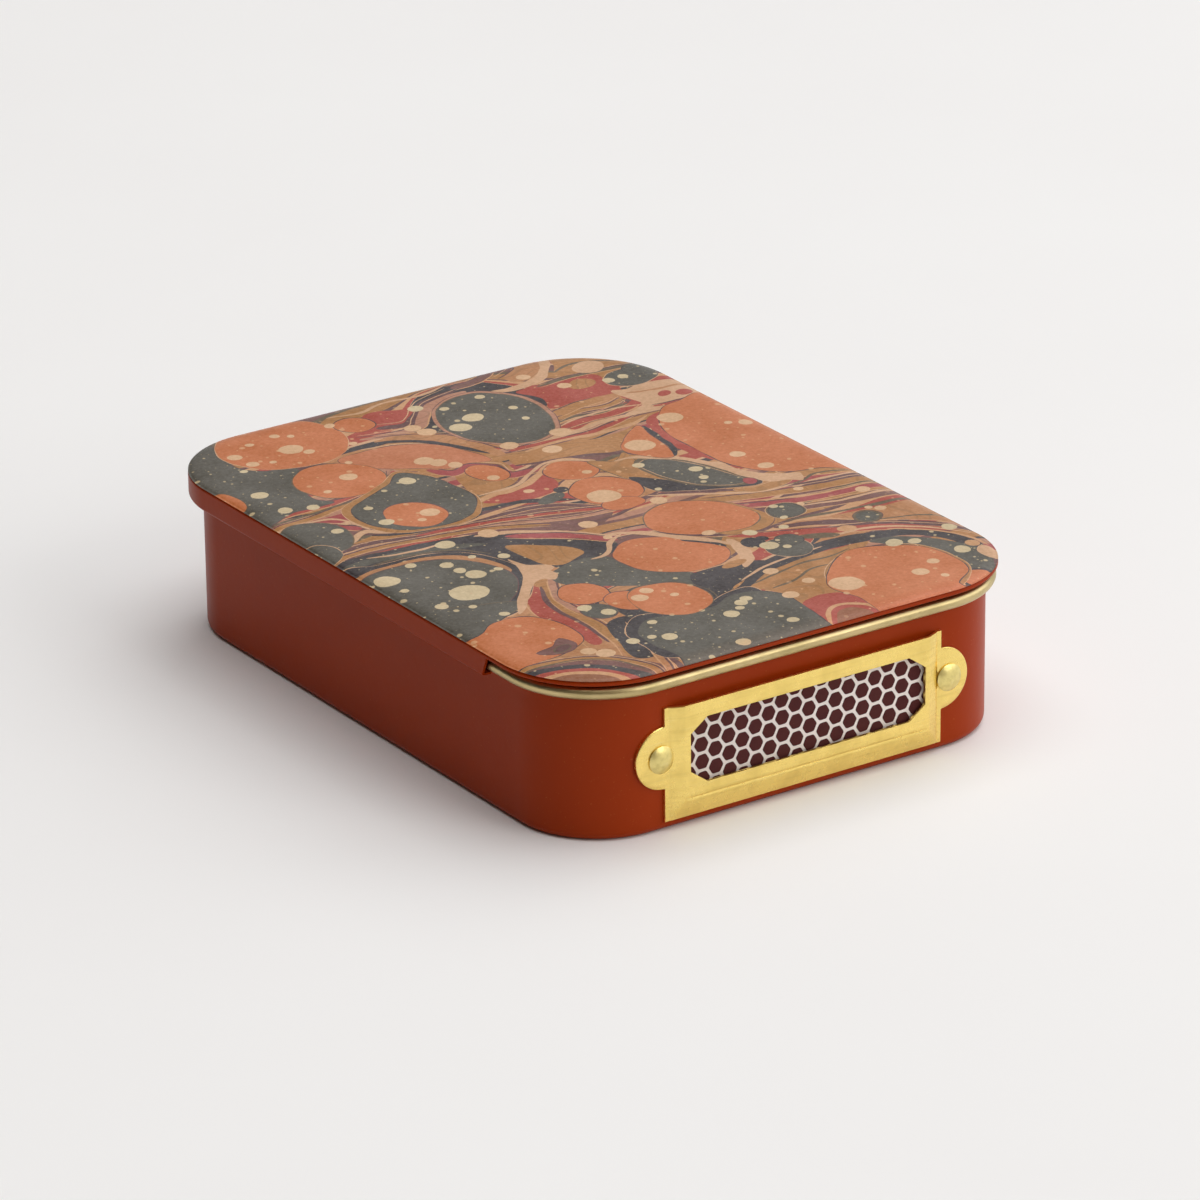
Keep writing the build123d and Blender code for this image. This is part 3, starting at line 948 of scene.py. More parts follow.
# Shapes over the streams, from the lowest up
DROPS: tuple[Vein | Pool | Drop, ...] = (
    Pool(Ink.SLATE, (
        (-34, 42), (-25, 44), (-24.6, 38), (-25.6, 34), (-23.6, 31), (-20, 29.4), (-22.6, 25), (-23.4, 20.6),
        (-22, 18.2), (-27, 18.4), (-34, 18.6),
    )),
    Drop(-32, 25.3, 1.8, 3.1, Ink.ORANGE),
    Drop(-17.5, 36.9, 8.0, 7.6, Ink.ORANGE, 5),
    Drop(-7.4, 37.2, 2.3, 2.3, Ink.ORANGE),
    Pool(Ink.APRICOT, (
        (-15, 29), (-11, 29.6), (-7.4, 29.2), (-3.6, 26.8), (-1.2, 22.6), (-0.6, 19), (-3.4, 19.6), (-6, 19.4),
        (-9, 21.6), (-12, 23.6), (-14.6, 26),
    )),
    Drop(-18, 23.6, 5.3, 5.2, Ink.ORANGE, -15),
    Pool(Ink.OCHRE, (
        (-8.6, 16.6), (-9.4, 20), (-11.4, 22), (-14, 20.4), (-18.6, 17.8), (-22.6, 15.4), (-23, 10.4), (-21, 6.4),
        (-16, 4.9), (-11, 5.6), (-8.2, 10.2),
    )),
    Pool(Ink.SLATE, (
        (-8.6, 16.6), (-9.6, 19.6), (-11.4, 21.4), (-13.8, 19.6), (-18.4, 17), (-21.6, 14.8), (-22.1, 10.4),
        (-20, 6.8), (-16, 5.5), (-11.4, 6.4), (-8.5, 10.4),
    )),
    Drop(-16.6, 9.9, 3.4, 3.8, Ink.ORANGE),
    Drop(-29.6, 10.4, 4.2, 4.9, Ink.SLATE, -20),
    Drop(-32, 6, 3, 3, Ink.SLATE),
    Drop(-3, 15.8, 2.1, 2.9, Ink.ORANGE, 15),
    Drop(7.1, 29.6, 6.9, 9.0, Ink.BLUSH, -6),
    Drop(7.0, 29.6, 6.3, 8.5, Ink.SLATE, -6),
    Drop(27.5, 31.7, 3.5, 2.7, Ink.SLATE),
    Drop(30.5, 33.5, 2.5, 2.0, Ink.SLATE),
    Drop(5, 10.9, 3.1, 3.0, Ink.ORANGE),
    Pool(Ink.AMBER, ((8, 12), (10.6, 10.4), (13, 12), (12.6, 7), (14.4, 3), (12, 1), (9.4, 4), (8.4, 7))),
    Pool(Ink.NIGHT, (
        (9, 5), (10.4, 4.4), (13, 1.4), (17, -2), (20.6, -3), (20.8, -5), (17, -4.2), (12, -1.6), (9.4, 0),
    )),
    Drop(4.7, 3.6, 4.2, 4.1, Ink.ORANGE),
    Drop(4.2, -0.9, 2.6, 1.7, Ink.ORANGE),
    Pool(Ink.OLIVE, ((11.8, 7.6), (14.4, 9.4), (17.6, 5.4), (19.6, 0), (20.9, -4.1), (16, -3), (12.7, 1.6))),
    Pool(Ink.SLATE, ((12.2, 7), (14.2, 8.6), (17.2, 5), (19, 0), (19.6, -3.4), (16, -2.6), (13.2, 1.4))),
    Drop(20, -3.6, 0.9, 0.9, Ink.CRIMSON, 45),
    Vein(Ink.CREAM, 0.9, ((10.6, 10.4), (13.6, 9.8), (17.6, 6.2), (19.6, 1.6), (20.8, -2.4), (24.6, -5)), 0.15),
    Vein(Ink.CREAM, 0.55, ((7.5, -0.4), (10.7, -2.2), (14.3, -4.4), (17.1, -6.2), (20.4, -7.3), (23.4, -7.3))),
    Pool(Ink.OCHRE, ((16.6, -4.8), (20, -5.4), (23.4, -5.2), (23.8, -6.2), (22, -7), (18.6, -6.8))),
    Pool(Ink.CREAM, (
        (18.9, 3.4), (20.2, 3.4), (20.8, 0.2), (22.4, -2.6), (24.4, -4.2), (25.8, -4.9), (24.8, -7), (23.6, -6),
        (21.4, -5), (20.7, -2), (19.6, 0.6),
    )),
    Pool(Ink.ORANGE, ((19.2, 18), (14, 13.8), (13.6, 11), (16.6, 7.4), (18.2, 11), (19, 15))),
    Vein(Ink.NIGHT, 0.9, ((19.8, 17.6), (19.4, 13.6), (18.6, 10.4), (17.2, 7.6)), 0.4),
    Vein(Ink.RED, 1.9, ((24, 20), (21.6, 18), (20.8, 14), (19.8, 9), (20.4, 4))),
    Pool(Ink.ORANGE, (
        (20.4, 4), (20.3, 10), (21.4, 16), (24, 20.4), (27.4, 21.9), (34, 21), (34, -6), (28, -4.9), (24.2, -3.4),
        (21.6, 0),
    )),
    Pool(Ink.OCHRE, ((9, -5), (13.4, -6.6), (15.4, -11), (15.6, -14.4), (12.4, -16.2), (8, -15))),
    Pool(Ink.ORANGE, (
        (2.6, -9.2), (4.2, -5.2), (8.2, -3.7), (12.2, -5.4), (14.4, -9), (14.8, -12.6), (12, -14.8), (8.4, -14.6),
        (5, -12.8),
    )),
    Drop(17.9, -13.3, 2.2, 2.3, Ink.OLIVE),
    Drop(17.9, -13.3, 1.9, 2.0, Ink.SLATE),
    Drop(24.3, -20.1, 1.8, 1.7, Ink.OLIVE),
    Drop(24.3, -20.1, 1.4, 1.4, Ink.SLATE),
    Drop(11.8, -22.4, 2.7, 2.8, Ink.SLATE),
    Drop(13.2, -20.6, 1.6, 1.6, Ink.SLATE),
    Drop(0.1, -16.4, 6.6, 5.1, Ink.ORANGE, -42),
    Vein(Ink.NIGHT, 0.8, ((3.4, -13.6), (5.4, -16), (6.4, -18.4))),
    Vein(Ink.CREAM, 1.1, ((-2.4, -7.6), (0.8, -9.2), (3.5, -12.6), (6, -15.8), (7.2, -18.4)), 0.25),
    Drop(-14.1, -20.2, 2.9, 3.0, Ink.ORANGE),
    Drop(-15.6, -25.3, 1.9, 2.2, Ink.SLATE),
    Drop(-8.3, -27.3, 5.6, 5.3, Ink.NIGHT, 10),
    Pool(Ink.NIGHT, (
        (-34, -0.4), (-28, -0.3), (-23, -0.6), (-18.8, -2.6), (-16.4, -6), (-15.7, -9.4), (-16.2, -12.6), (-18, -15.8),
        (-20.6, -18.4), (-24, -20.6), (-34, -21.5),
    )),
    Pool(Ink.TAN, (
        (-34, -2), (-31, -1.6), (-27.9, -1.1), (-23.6, -1.2), (-19.9, -2.8), (-17.5, -5.6), (-16.6, -8.6),
        (-17.2, -10.4), (-20, -10), (-30, -6),
    )),
    Pool(Ink.SLATE, (
        (-34, -3.6), (-31.4, -2.7), (-27.9, -1.9), (-23.9, -2.1), (-20.6, -3.6), (-18.5, -6), (-17.4, -8.8),
        (-17.5, -11.5), (-18.8, -14), (-20.9, -16.5), (-23.8, -18.5), (-27.4, -19.6), (-34, -20.4),
    )),
    Pool(Ink.SLATE, ((-34, -14), (-26, -16), (-21, -18.4), (-24.4, -20.4), (-27.6, -21.8), (-30, -24), (-34, -25.6))),
    Pool(Ink.CREAM, (
        (-15.4, -7.2), (-14.7, -9.5), (-12.8, -10.7), (-12.4, -12), (-13.4, -12.6), (-13.2, -13.8), (-14.4, -15.2),
        (-15.4, -14.2), (-16.8, -14.4), (-18.8, -16.6), (-21.4, -19.8), (-23.2, -21), (-21.4, -18), (-19.3, -15.3),
        (-17.1, -12.4), (-15.9, -9.8),
    )),
    Pool(Ink.ORANGE, (
        (-34, -24.2), (-30, -23.4), (-27, -21.4), (-22.8, -22), (-20.8, -25.6), (-21.2, -30.6), (-25, -32.6),
        (-30, -33), (-34, -32.6),
    )),
    Pool(Ink.MAUVE, ((-27.4, -31), (-25, -30.4), (-23.2, -29), (-22.4, -31), (-23.6, -32.4), (-25.6, -32.4))),
    Drop(-24.4, -31.4, 1.2, 0.6, Ink.WINE, 20),
    Pool(Ink.NIGHT, (
        (-13, -28.8), (-16.4, -31.6), (-17, -36), (-16.4, -40), (-10, -41), (0, -35), (2, -29.6), (-2, -29.2),
        (-7, -31),
    )),
    Pool(Ink.SLATE, (
        (-12.4, -30.2), (-15.3, -32.4), (-16, -36), (-15.5, -40), (-15.5, -47), (2.2, -47), (2.8, -41), (3.4, -36),
        (3.2, -32.4), (1.2, -30.4), (-2, -30), (-5, -31.4), (-9.6, -31),
    )),
    Drop(-11.3, -24.6, 2.3, 2.8, Ink.ORANGE),
    Drop(-7.4, -26.9, 4.3, 4.7, Ink.ORANGE, 10),
    Drop(17.3, -35.0, 8.0, 7.9, Ink.AMBER, 0),
    Pool(Ink.ORANGE, (
        (17.4, -26.8), (21, -28.2), (24, -31), (25, -35), (24, -39), (21, -41.4), (22, -44), (10.6, -44), (9.6, -38),
        (8.8, -34.6), (11, -31), (14, -28),
    )),
)

# Place and radius of the pale drops on top
PEARLS: tuple[tuple[float, float, float], ...] = (
    (-24, -12.7, 2.2), (-29.5, -4.8, 1.5), (-20.6, -8.8, 1.2), (-21.7, -4.7, 0.8), (-21.3, -6.8, 0.8),
    (-28.6, -14.1, 0.8), (-25.2, -2.5, 0.7), (-25.8, -16.2, 0.5), (-29.4, -8.2, 0.5), (-24.4, -19.9, 0.6),
    (-17.7, -9, 0.5), (-15.2, -6.2, 0.7), (-18.2, -4.5, 0.5), (-9.8, -24.8, 1), (-8.1, -23.4, 0.8), (-6.2, -26, 0.5),
    (-16.3, -23.6, 0.9), (-14.9, -26.1, 0.9), (-22.5, -33.7, 0.9), (-21.3, -35.2, 1.1), (-17.2, -34.2, 0.8),
    (-13.3, -35.5, 0.9), (-12.5, -31.2, 0.6), (-14.9, -34.5, 0.5), (-4.2, -34.1, 0.9), (-1.7, -32.2, 0.8),
    (-0.6, -31.6, 0.7), (-2.6, -33.3, 0.5), (-7.8, -41.1, 0.9), (0.1, -39.2, 0.7), (7.9, -2.5, 1.1),
    (11.7, -22.1, 0.5), (10.3, -20.8, 1.1), (10.7, -16.5, 0.9), (7.1, -13.9, 0.8), (15.1, -17.1, 0.6),
    (17.4, -11.4, 0.5), (16.6, -14.8, 0.5), (20.4, -12.6, 0.5), (22.9, -8.9, 0.6), (28.7, -13.4, 0.9),
    (27, -18.9, 0.7), (26, -18, 0.5), (11, -34.6, 2.0), (19.5, -36.6, 1), (22.4, -35, 0.7), (21, -38.8, 0.5),
    (8, -31.5, 0.8), (3.9, -33.5, 1), (6.2, -27, 0.9), (22, -28, 1.05), (24.1, -29, 0.8), (27.2, -34, 1),
    (29.8, -27.6, 1), (-17.6, 35, 1.5), (-24, 36.4, 0.9), (-23.5, 33.5, 0.8), (-16.2, 33.2, 0.7), (-21.2, 32.7, 0.5),
    (-20.7, 38.9, 0.5), (-17, 39.7, 0.6), (-15.5, 38.7, 0.5), (-10.7, 32.5, 0.5), (-9.8, 38.7, 0.7), (-27.6, 25, 1.1),
    (-27.8, 19.5, 0.9), (-25.5, 32.3, 0.5), (-24.7, 18.4, 0.8), (-16.8, 23.8, 1.1), (-7.2, 23, 1.2),
    (-6.1, 21.6, 1.1), (-4.8, 19.9, 0.9), (-14.4, 27.7, 0.5), (-21, 21.4, 0.5), (-11.8, 19, 1), (-20.3, 9.9, 0.9),
    (-15, 9.6, 1.2), (-16.9, 8.2, 0.5), (-19.8, 14.4, 0.5), (-26.3, 10.8, 0.8), (-3.2, 14.2, 0.8), (-18.8, 0.3, 1.2),
    (-13, 0.4, 1.3), (2.2, 29.5, 1.3), (5.1, 31.2, 1.3), (3.6, 21.3, 1.2), (10.6, 31, 0.6), (10.1, 27.4, 0.5),
    (9.3, 36.4, 0.7), (4, 35.6, 0.6), (1.3, 37.7, 1), (-1.7, 30.5, 1.2), (-2.4, 32.6, 1.1), (27, 32.3, 0.7),
    (24.8, 32.2, 0.8), (10.7, 21.5, 1.3), (7.1, 17.5, 1.2), (23.7, 18, 1.5), (15.9, 12.7, 1.8), (12.2, 7.6, 0.8),
    (6.2, 9.5, 0.6), (3.6, 2, 1.9), (16.9, 2.9, 0.8), (16.2, 0.3, 0.6), (23.3, 4, 0.9), (24, -0.8, 1),
    (29.8, 11.7, 0.9), (28, 12.7, 0.5), (-2.6, -4, 1.1), (-2.9, -8.3, 0.6), (19.3, 33.6, 0.9), (17, 39, 0.9),
    (9.9, 0.5, 0.5), (-2.4, 8.4, 0.6),
)


@dataclass(frozen=True)
class Layer:
    """One ink on the bath, within a line that closes on itself or by way of corners far off the sheet."""

    ink: Ink
    line: list[Point]
    corners: tuple[Point, ...] = ()

    def loop(self) -> np.ndarray:
        """The whole outline."""
        return np.array([*self.line, *self.corners])


@dataclass
class MarblingBath:
    """Ink shapes laid over each other, cut apart along their outlines where one covers another."""

    seed: int = 4
    merge: float = 1e-4
    spread: Point = (38.0, 52.0)
    kept_reach: Point = (36.0, 48.0)
    far_corners: tuple[Point, ...] = ((90.0, -90.0), (-90.0, -90.0))
    ground_stretch: float = 1.5
    swing: float = 2.2
    ripple_height: float = 1.5
    nudge: Point = (0.01, 0.013)
    room: float = 0.8
    least_pusher: float = 2.5
    longest: float = 0.9
    spans: int = 24
    halvings: int = 6
    rims: tuple[tuple[Ink, float], ...] = ((Ink.WINE, 0.1), (Ink.OLIVE, 0.12), (Ink.CREAM, 0.09), (Ink.NIGHT, 0.11))
    pearl_squash: float = 0.96

    def cut(
        self, outline: Sequence[Point], contours: Sequence[Sequence[Point]]
    ) -> tuple[list[Vector], list[list[int]], list[Ink]]:
        """Cut a sheet into patches of one ink each.

        Args:
            outline: The sheet's outline.
            contours: Loops inside it along which the sheet is cut as well.

        Returns:
            Points, triangles as lists of point numbers, and the triangles' inks.
        """
        # Vector noise starts from the clock unless it is seeded, and the currents have to be the same each run.
        noise.seed_set(self.seed)
        layers = self._layers()
        points: list[Point] = []
        edges: list[tuple[int, int]] = []
        lines = [(line, True) for line in (outline, *contours)]
        lines += [(layer.line, not layer.corners) for layer in layers]
        for line, closed in lines:
            start = len(points)
            points.extend(line)
            edges.extend((start + index, start + index + 1) for index in range(len(line) - 1))
            if closed:
                edges.append((len(points) - 1, start))
        flat, _, faces, *_ = delaunay_2d_cdt([Vector(point) for point in points], edges, [], TO_THE_HULL, self.merge)
        corners = np.array(faces)
        middles = np.array([tuple(point) for point in flat])[corners].mean(axis=1)
        inks = np.full(len(corners), -1)
        choice = list(Ink)
        for layer in layers:
            loop = layer.loop()
            low, high = loop.min(axis=0), loop.max(axis=0)
            near = np.flatnonzero(((middles > low) & (middles < high)).all(axis=1))
            inks[near[covered(middles[near], loop)]] = choice.index(layer.ink)
        kept = covered(middles, outline)
        return flat, corners[kept].tolist(), [choice[index] for index in inks[kept]]

    def _layers(self) -> list[Layer]:
        """Lay the ground, the streams, the drops and the pearls.

        Returns:
            The layers, from the lowest up.
        """
        layers = self._ground()
        for shape in STREAMS:
            layers.append(Layer(shape.ink, shape.outline()))
            if isinstance(shape, Vein):
                layers += [Layer(thread.ink, thread.outline()) for thread in shape.threads()]
        for shape, (rim, extra) in zip(DROPS, cycle(self.rims)):
            loop = shape.outline()
            if not isinstance(shape, Vein) and shape.ink is not Ink.CREAM:
                layers.append(Layer(rim, swollen(loop, extra)))
            layers.append(Layer(shape.ink, loop))
        return layers + self._pearls(layers)

    def _ground(self) -> list[Layer]:
        """Lay bands of ground ink, each over the front part of the one before.

        Returns:
            The layers.
        """
        bands = cycle(GROUND)
        layers = []
        height = self.spread[1]
        while height > -self.spread[1]:
            width, ink = next(bands)
            layers.append(Layer(ink, self._current(height), self.far_corners))
            height -= width * self.ground_stretch
        return layers

    def _pearls(self, below: Sequence[Layer]) -> list[Layer]:
        """Lay pale drops, of another ink on dark inks than on light ones.

        Args:
            below: The layers under them.

        Returns:
            The layers.
        """
        loops = [(layer.ink, layer.loop()) for layer in reversed(below)]
        pearls = []
        for x, y, radius in PEARLS:
            spot = np.array([flow(x, y)])
            under = next((ink for ink, loop in loops if covered(spot, loop)[0]), Ink.SLATE)
            ink = Ink.PEARL if under in DARK else Ink.FOAM
            pearls.append(Layer(ink, Drop(x, y, radius, radius * self.pearl_squash, ink).outline()))
        return pearls

    def _current(self, height: float) -> list[Point]:
        """Border between two ground inks after the drops have pushed it about.

        Args:
            height: Where the border lay at first.

        Returns:
            The border, from left to right.
        """
        drops = [shape for shape in DROPS if isinstance(shape, Drop)]
        pushers = [drop for drop in drops if min(drop.across, drop.along) > self.least_pusher]

        def settle(x: float) -> Point:
            """Where a point of the border ends up.

            Args:
                x: Its place across before.

            Returns:
                The point.
            """
            y = height + self.swing * math.sin(x / 13 + height / 17)
            y += self.ripple_height * ripple(x, height, size=9.0, layer=1.0)
            # The nudge keeps a point off the very middle of a drop.
            point = (x + self.nudge[0], y + self.nudge[1])
            for drop in pushers:
                point = drop.pushed(*point, self.room)
            return flow(*point)

        def fill(left: float, right: float, start: Point, end: Point, depth: int) -> list[Point]:
            """Points between two points of the border, close enough for a smooth curve.

            Args:
                left: Place across of the first point before it was pushed.
                right: Place across of the second.
                start: The first point.
                end: The second point.
                depth: How many more times the span may be halved.

            Returns:
                The points after the first, up to the second.
            """
            if depth == 0 or math.dist(start, end) < self.longest:
                return [end]
            middle = (left + right) / 2
            point = settle(middle)
            return fill(left, middle, start, point, depth - 1) + fill(middle, right, point, end, depth - 1)

        reach = self.spread[0]
        places = [-reach + 2 * reach * step / self.spans for step in range(self.spans + 1)]
        line = [settle(places[0])]
        for left, right in zip(places, places[1:]):
            line += fill(left, right, line[-1], settle(right), self.halvings)
        kept_x, kept_y = self.kept_reach
        return [(x, y) for x, y in line if abs(x) < kept_x and abs(y) < kept_y]


# Meshes


class MeshMaker:
    """Builds one mesh from rings of points in millimetres."""

    def __init__(self) -> None:
        """Start an empty mesh."""
        self.mesh = bmesh.new()

    def ring(self, points: Iterable[Sequence[float]]) -> list[bmesh.types.BMVert]:
        """Add a ring of points."""
        return [self.mesh.verts.new(Vector(point) * METRES) for point in points]

    def bridge(
        self,
        first: Sequence[bmesh.types.BMVert],
        second: Sequence[bmesh.types.BMVert],
        closed: bool = True,
        slot: int = 0,
    ) -> None:
        """Join two rings of as many points with four-sided faces.

        Args:
            first: One ring.
            second: The other ring.
            closed: Whether the rings close on themselves.
            slot: Material slot of the faces.
        """
        count = len(first)
        for index in range(count if closed else count - 1):
            following = (index + 1) % count
            face = self.mesh.faces.new((first[index], first[following], second[following], second[index]))
            face.material_index = slot
            face.smooth = True

    def loft(self, rings: Sequence[Sequence[bmesh.types.BMVert]], closed: bool = True) -> None:
        """Join each ring with the next."""
        for first, second in zip(rings, rings[1:]):
            self.bridge(first, second, closed)

    def cap(self, ring: Sequence[bmesh.types.BMVert], slot: int = 0, smooth: bool = True) -> None:
        """Fill a ring with one face.

        Args:
            ring: The ring.
            slot: Material slot of the face.
            smooth: Whether its shading runs on into its neighbours.
        """
        face = self.mesh.faces.new(ring)
        face.material_index = slot
        face.smooth = smooth

    def drop_loose(self) -> None:
        """Take away the vertices that no face uses."""
        loose = [each for each in self.mesh.verts if not each.link_faces]
        bmesh.ops.delete(self.mesh, geom=loose, context="VERTS")

    def finish(
        self,
        name: str,
        body: str,
        nodes: Sequence[str],
        finishes: Sequence[bpy.types.Material],
        crease: float = 40.0,
    ) -> bpy.types.Object:
        """Turn the mesh into a piece that rides on a body and stands for CAD nodes.

        Args:
            name: The piece's name.
            body: The CAD body that it rides on.
            nodes: The CAD nodes that it stands for.
            finishes: Its materials, by slot index.
            crease: Angle in degrees past which an edge stays crisp.

        Returns:
            The piece.
        """
        bmesh.ops.recalc_face_normals(self.mesh, faces=self.mesh.faces)
        data = bpy.data.meshes.new(name)
        self.mesh.to_mesh(data)
        self.mesh.free()
        for each in finishes:
            data.materials.append(each)
        data.set_sharp_from_angle(angle=math.radians(crease))
        piece = bpy.data.objects.new(name, data)
        bpy.context.scene.collection.objects.link(piece)
        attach(piece, body)
        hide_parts(*nodes)
        log.info("%s: %d faces on %s", name, len(data.polygons), body)
        return piece


def arc(centre: Point, radius: float, start: float, end: float, steps: int) -> list[Point]:
    """Points along an arc between two angles in degrees, both ends included."""
    turn = [math.radians(start + (end - start) * step / steps) for step in range(steps + 1)]
    return [(centre[0] + radius * math.cos(angle), centre[1] + radius * math.sin(angle)) for angle in turn]


@dataclass(frozen=True)
class RoundedPlan:
    """Rounded rectangle seen from above, with the same stations at every offset."""

    width: float
    length: float
    corner_radius: float
    centre_y: float = 0.0
    corner_steps: int = 28
    side_steps: int = 6
    split_y: float | None = None

    def stations(self) -> list[Station]:
        """Stations of the outline, anticlockwise from the right-hand side.

        Returns:
            The stations. With a split, the list starts there.
        """
        half_x = self.width / 2
        half_y = self.length / 2
        reach = half_y - self.corner_radius
        low = self.centre_y - reach if self.split_y is None else self.split_y
        high = self.centre_y + reach
        found: list[Station] = []

        def side(start: Point, end: Point, outward: Point, steps: int) -> None:
            """Add the stations of a straight side, without its last one.

            Args:
                start: The side's first point.
                end: Its last point.
                outward: Direction out of it.
                steps: How many parts it has.
            """
            for step in range(steps):
                share = step / steps
                x = start[0] + (end[0] - start[0]) * share
                y = start[1] + (end[1] - start[1]) * share
                found.append((x, y, *outward))

        def corner(centre: Point, start: float) -> None:
            """Add the stations of a corner, without its last one.

            Args:
                centre: The corner's centre.
                start: Its first angle in degrees.
            """
            for step in range(self.corner_steps):
                angle = math.radians(start + 90 * step / self.corner_steps)
                out = (math.cos(angle), math.sin(angle))
                x = centre[0] + self.corner_radius * out[0]
                y = centre[1] + self.corner_radius * out[1]
                found.append((x, y, *out))

        inner_x = half_x - self.corner_radius
        front = self.centre_y - reach
        side((half_x, low), (half_x, high), (1.0, 0.0), self.side_steps)
        corner((inner_x, high), 0.0)
        side((inner_x, self.centre_y + half_y), (-inner_x, self.centre_y + half_y), (0.0, 1.0), self.side_steps)
        corner((-inner_x, high), 90.0)
        side((-half_x, high), (-half_x, low), (-1.0, 0.0), self.side_steps)
        if self.split_y is not None:
            side((-half_x, low), (-half_x, front), (-1.0, 0.0), 1)
        corner((-inner_x, front), 180.0)
        side((-inner_x, self.centre_y - half_y), (inner_x, self.centre_y - half_y), (0.0, -1.0), self.side_steps)
        corner((inner_x, front), 270.0)
        if self.split_y is not None:
            side((half_x, front), (half_x, low), (1.0, 0.0), 1)
        return found

    def _past_corner(self, x: float, y: float) -> Point:
        """How far a point lies past the corners' centres, across and along."""
        over_x = abs(x) - (self.width / 2 - self.corner_radius)
        return over_x, abs(y - self.centre_y) - (self.length / 2 - self.corner_radius)

    def inset(self, x: float, y: float) -> float:
        """How far a point lies inside the outline.

        Args:
            x: Place across.
            y: Place along.

        Returns:
            The distance, below 0 outside.
        """
        over_x, over_y = self._past_corner(x, y)
        if over_x > 0 and over_y > 0:
            return self.corner_radius - math.hypot(over_x, over_y)
        return self.corner_radius - max(over_x, over_y)

    def outward(self, x: float, y: float) -> Point:
        """Direction straight out of the plan from a point near its outline.

        Args:
            x: Place across.
            y: Place along.

        Returns:
            The direction.
        """
        over_x, over_y = self._past_corner(x, y)
        if over_x <= 0 or over_y <= 0:
            return (math.copysign(1.0, x), 0.0) if over_x > over_y else (0.0, math.copysign(1.0, y))
        span = math.hypot(over_x, over_y)
        return math.copysign(over_x, x) / span, math.copysign(over_y, y - self.centre_y) / span

    def ring(self, outset: float, height: float) -> list[Place]:
        """The outline moved outwards, at one height."""
        return [(x + nx * outset, y + ny * outset, height) for x, y, nx, ny in self.stations()]


@dataclass
class TinBody:
    """Drawn tin with a rolled bead and a recessed base."""

    width: float = 60.0
    length: float = 82.6
    corner_radius: float = 10.3
    sheet: float = 0.3
    rim_height: float = 18.25
    bead_radius: float = 0.725
    curl_end: float = -113.0
    base_radius: float = 1.0
    foot_ring: float = 2.4
    foot_edge: float = 0.12
    recess: float = 0.4
    recess_bend: float = 0.35
    flat_reach: float = 3.0
    crease: float = 0.02
    crease_reach: float = 0.3
    wall_shares: tuple[float, float] = (0.35, 0.7)

    def build(self) -> bpy.types.Object:
        """Loft the tin's section round its plan.

        Returns:
            The piece that stands for the tin body.
        """
        maker = MeshMaker()
        plan = RoundedPlan(self.width, self.length, self.corner_radius)
        enamel, gold = 0, 1
        inside, outside = self._section()
        rings = [maker.ring(plan.ring(*point)) for point in inside + outside]
        for index, (first, second) in enumerate(zip(rings, rings[1:])):
            maker.bridge(first, second, slot=gold if index < len(inside) - 1 else enamel)
        maker.cap(rings[0], slot=gold)
        maker.cap(rings[-1], slot=enamel)
        finishes = [EnamelFinish().material(), GOLD_LACQUER.material()]
        return maker.finish("tin_body_shell", "tin", ["tin_body"], finishes, crease=38.0)

    def _section(self) -> tuple[list[Point], list[Point]]:
        """Half section of the tin, from the middle of its floor over the bead to the middle of its underside.

        Returns:
            The gold part and the enamelled part, as pairs of an outset and a height.
        """
        sheet = self.sheet
        foot = -(self.base_radius + self.foot_ring)
        floor = self.recess + sheet
        inner = self.base_radius - sheet
        centre = (self.bead_radius - sheet, self.rim_height - self.bead_radius)
        bend = self.recess_bend
        edge = self.foot_edge
        gold = [(foot + sheet - bend - self.flat_reach, floor)]
        gold += arc((foot + sheet - bend, floor - bend), bend, 90.0, 0.0, 4)
        gold += [(foot + sheet + self.crease, sheet + self.crease), (foot + sheet + self.crease_reach, sheet)]
        gold += arc((-self.base_radius, self.base_radius), inner, -90.0, 0.0, 8)
        gold += [(-sheet, centre[1] * share) for share in self.wall_shares]
        gold += arc(centre, self.bead_radius, 180.0, self.curl_end, 40)
        gold += arc(centre, self.bead_radius - sheet, self.curl_end, 180.0, 20)
        rust = [(0.0, centre[1] - self.crease)]
        rust += [(0.0, centre[1] * share) for share in reversed(self.wall_shares)]
        rust += arc((-self.base_radius, self.base_radius), self.base_radius, 0.0, -90.0, 10)
        rust += arc((foot + edge, edge), edge, -90.0, -180.0, 3)
        rust += arc((foot - bend, self.recess - bend), bend, 0.0, 90.0, 4)
        rust += [(foot - bend - self.flat_reach, self.recess)]
        return gold, rust


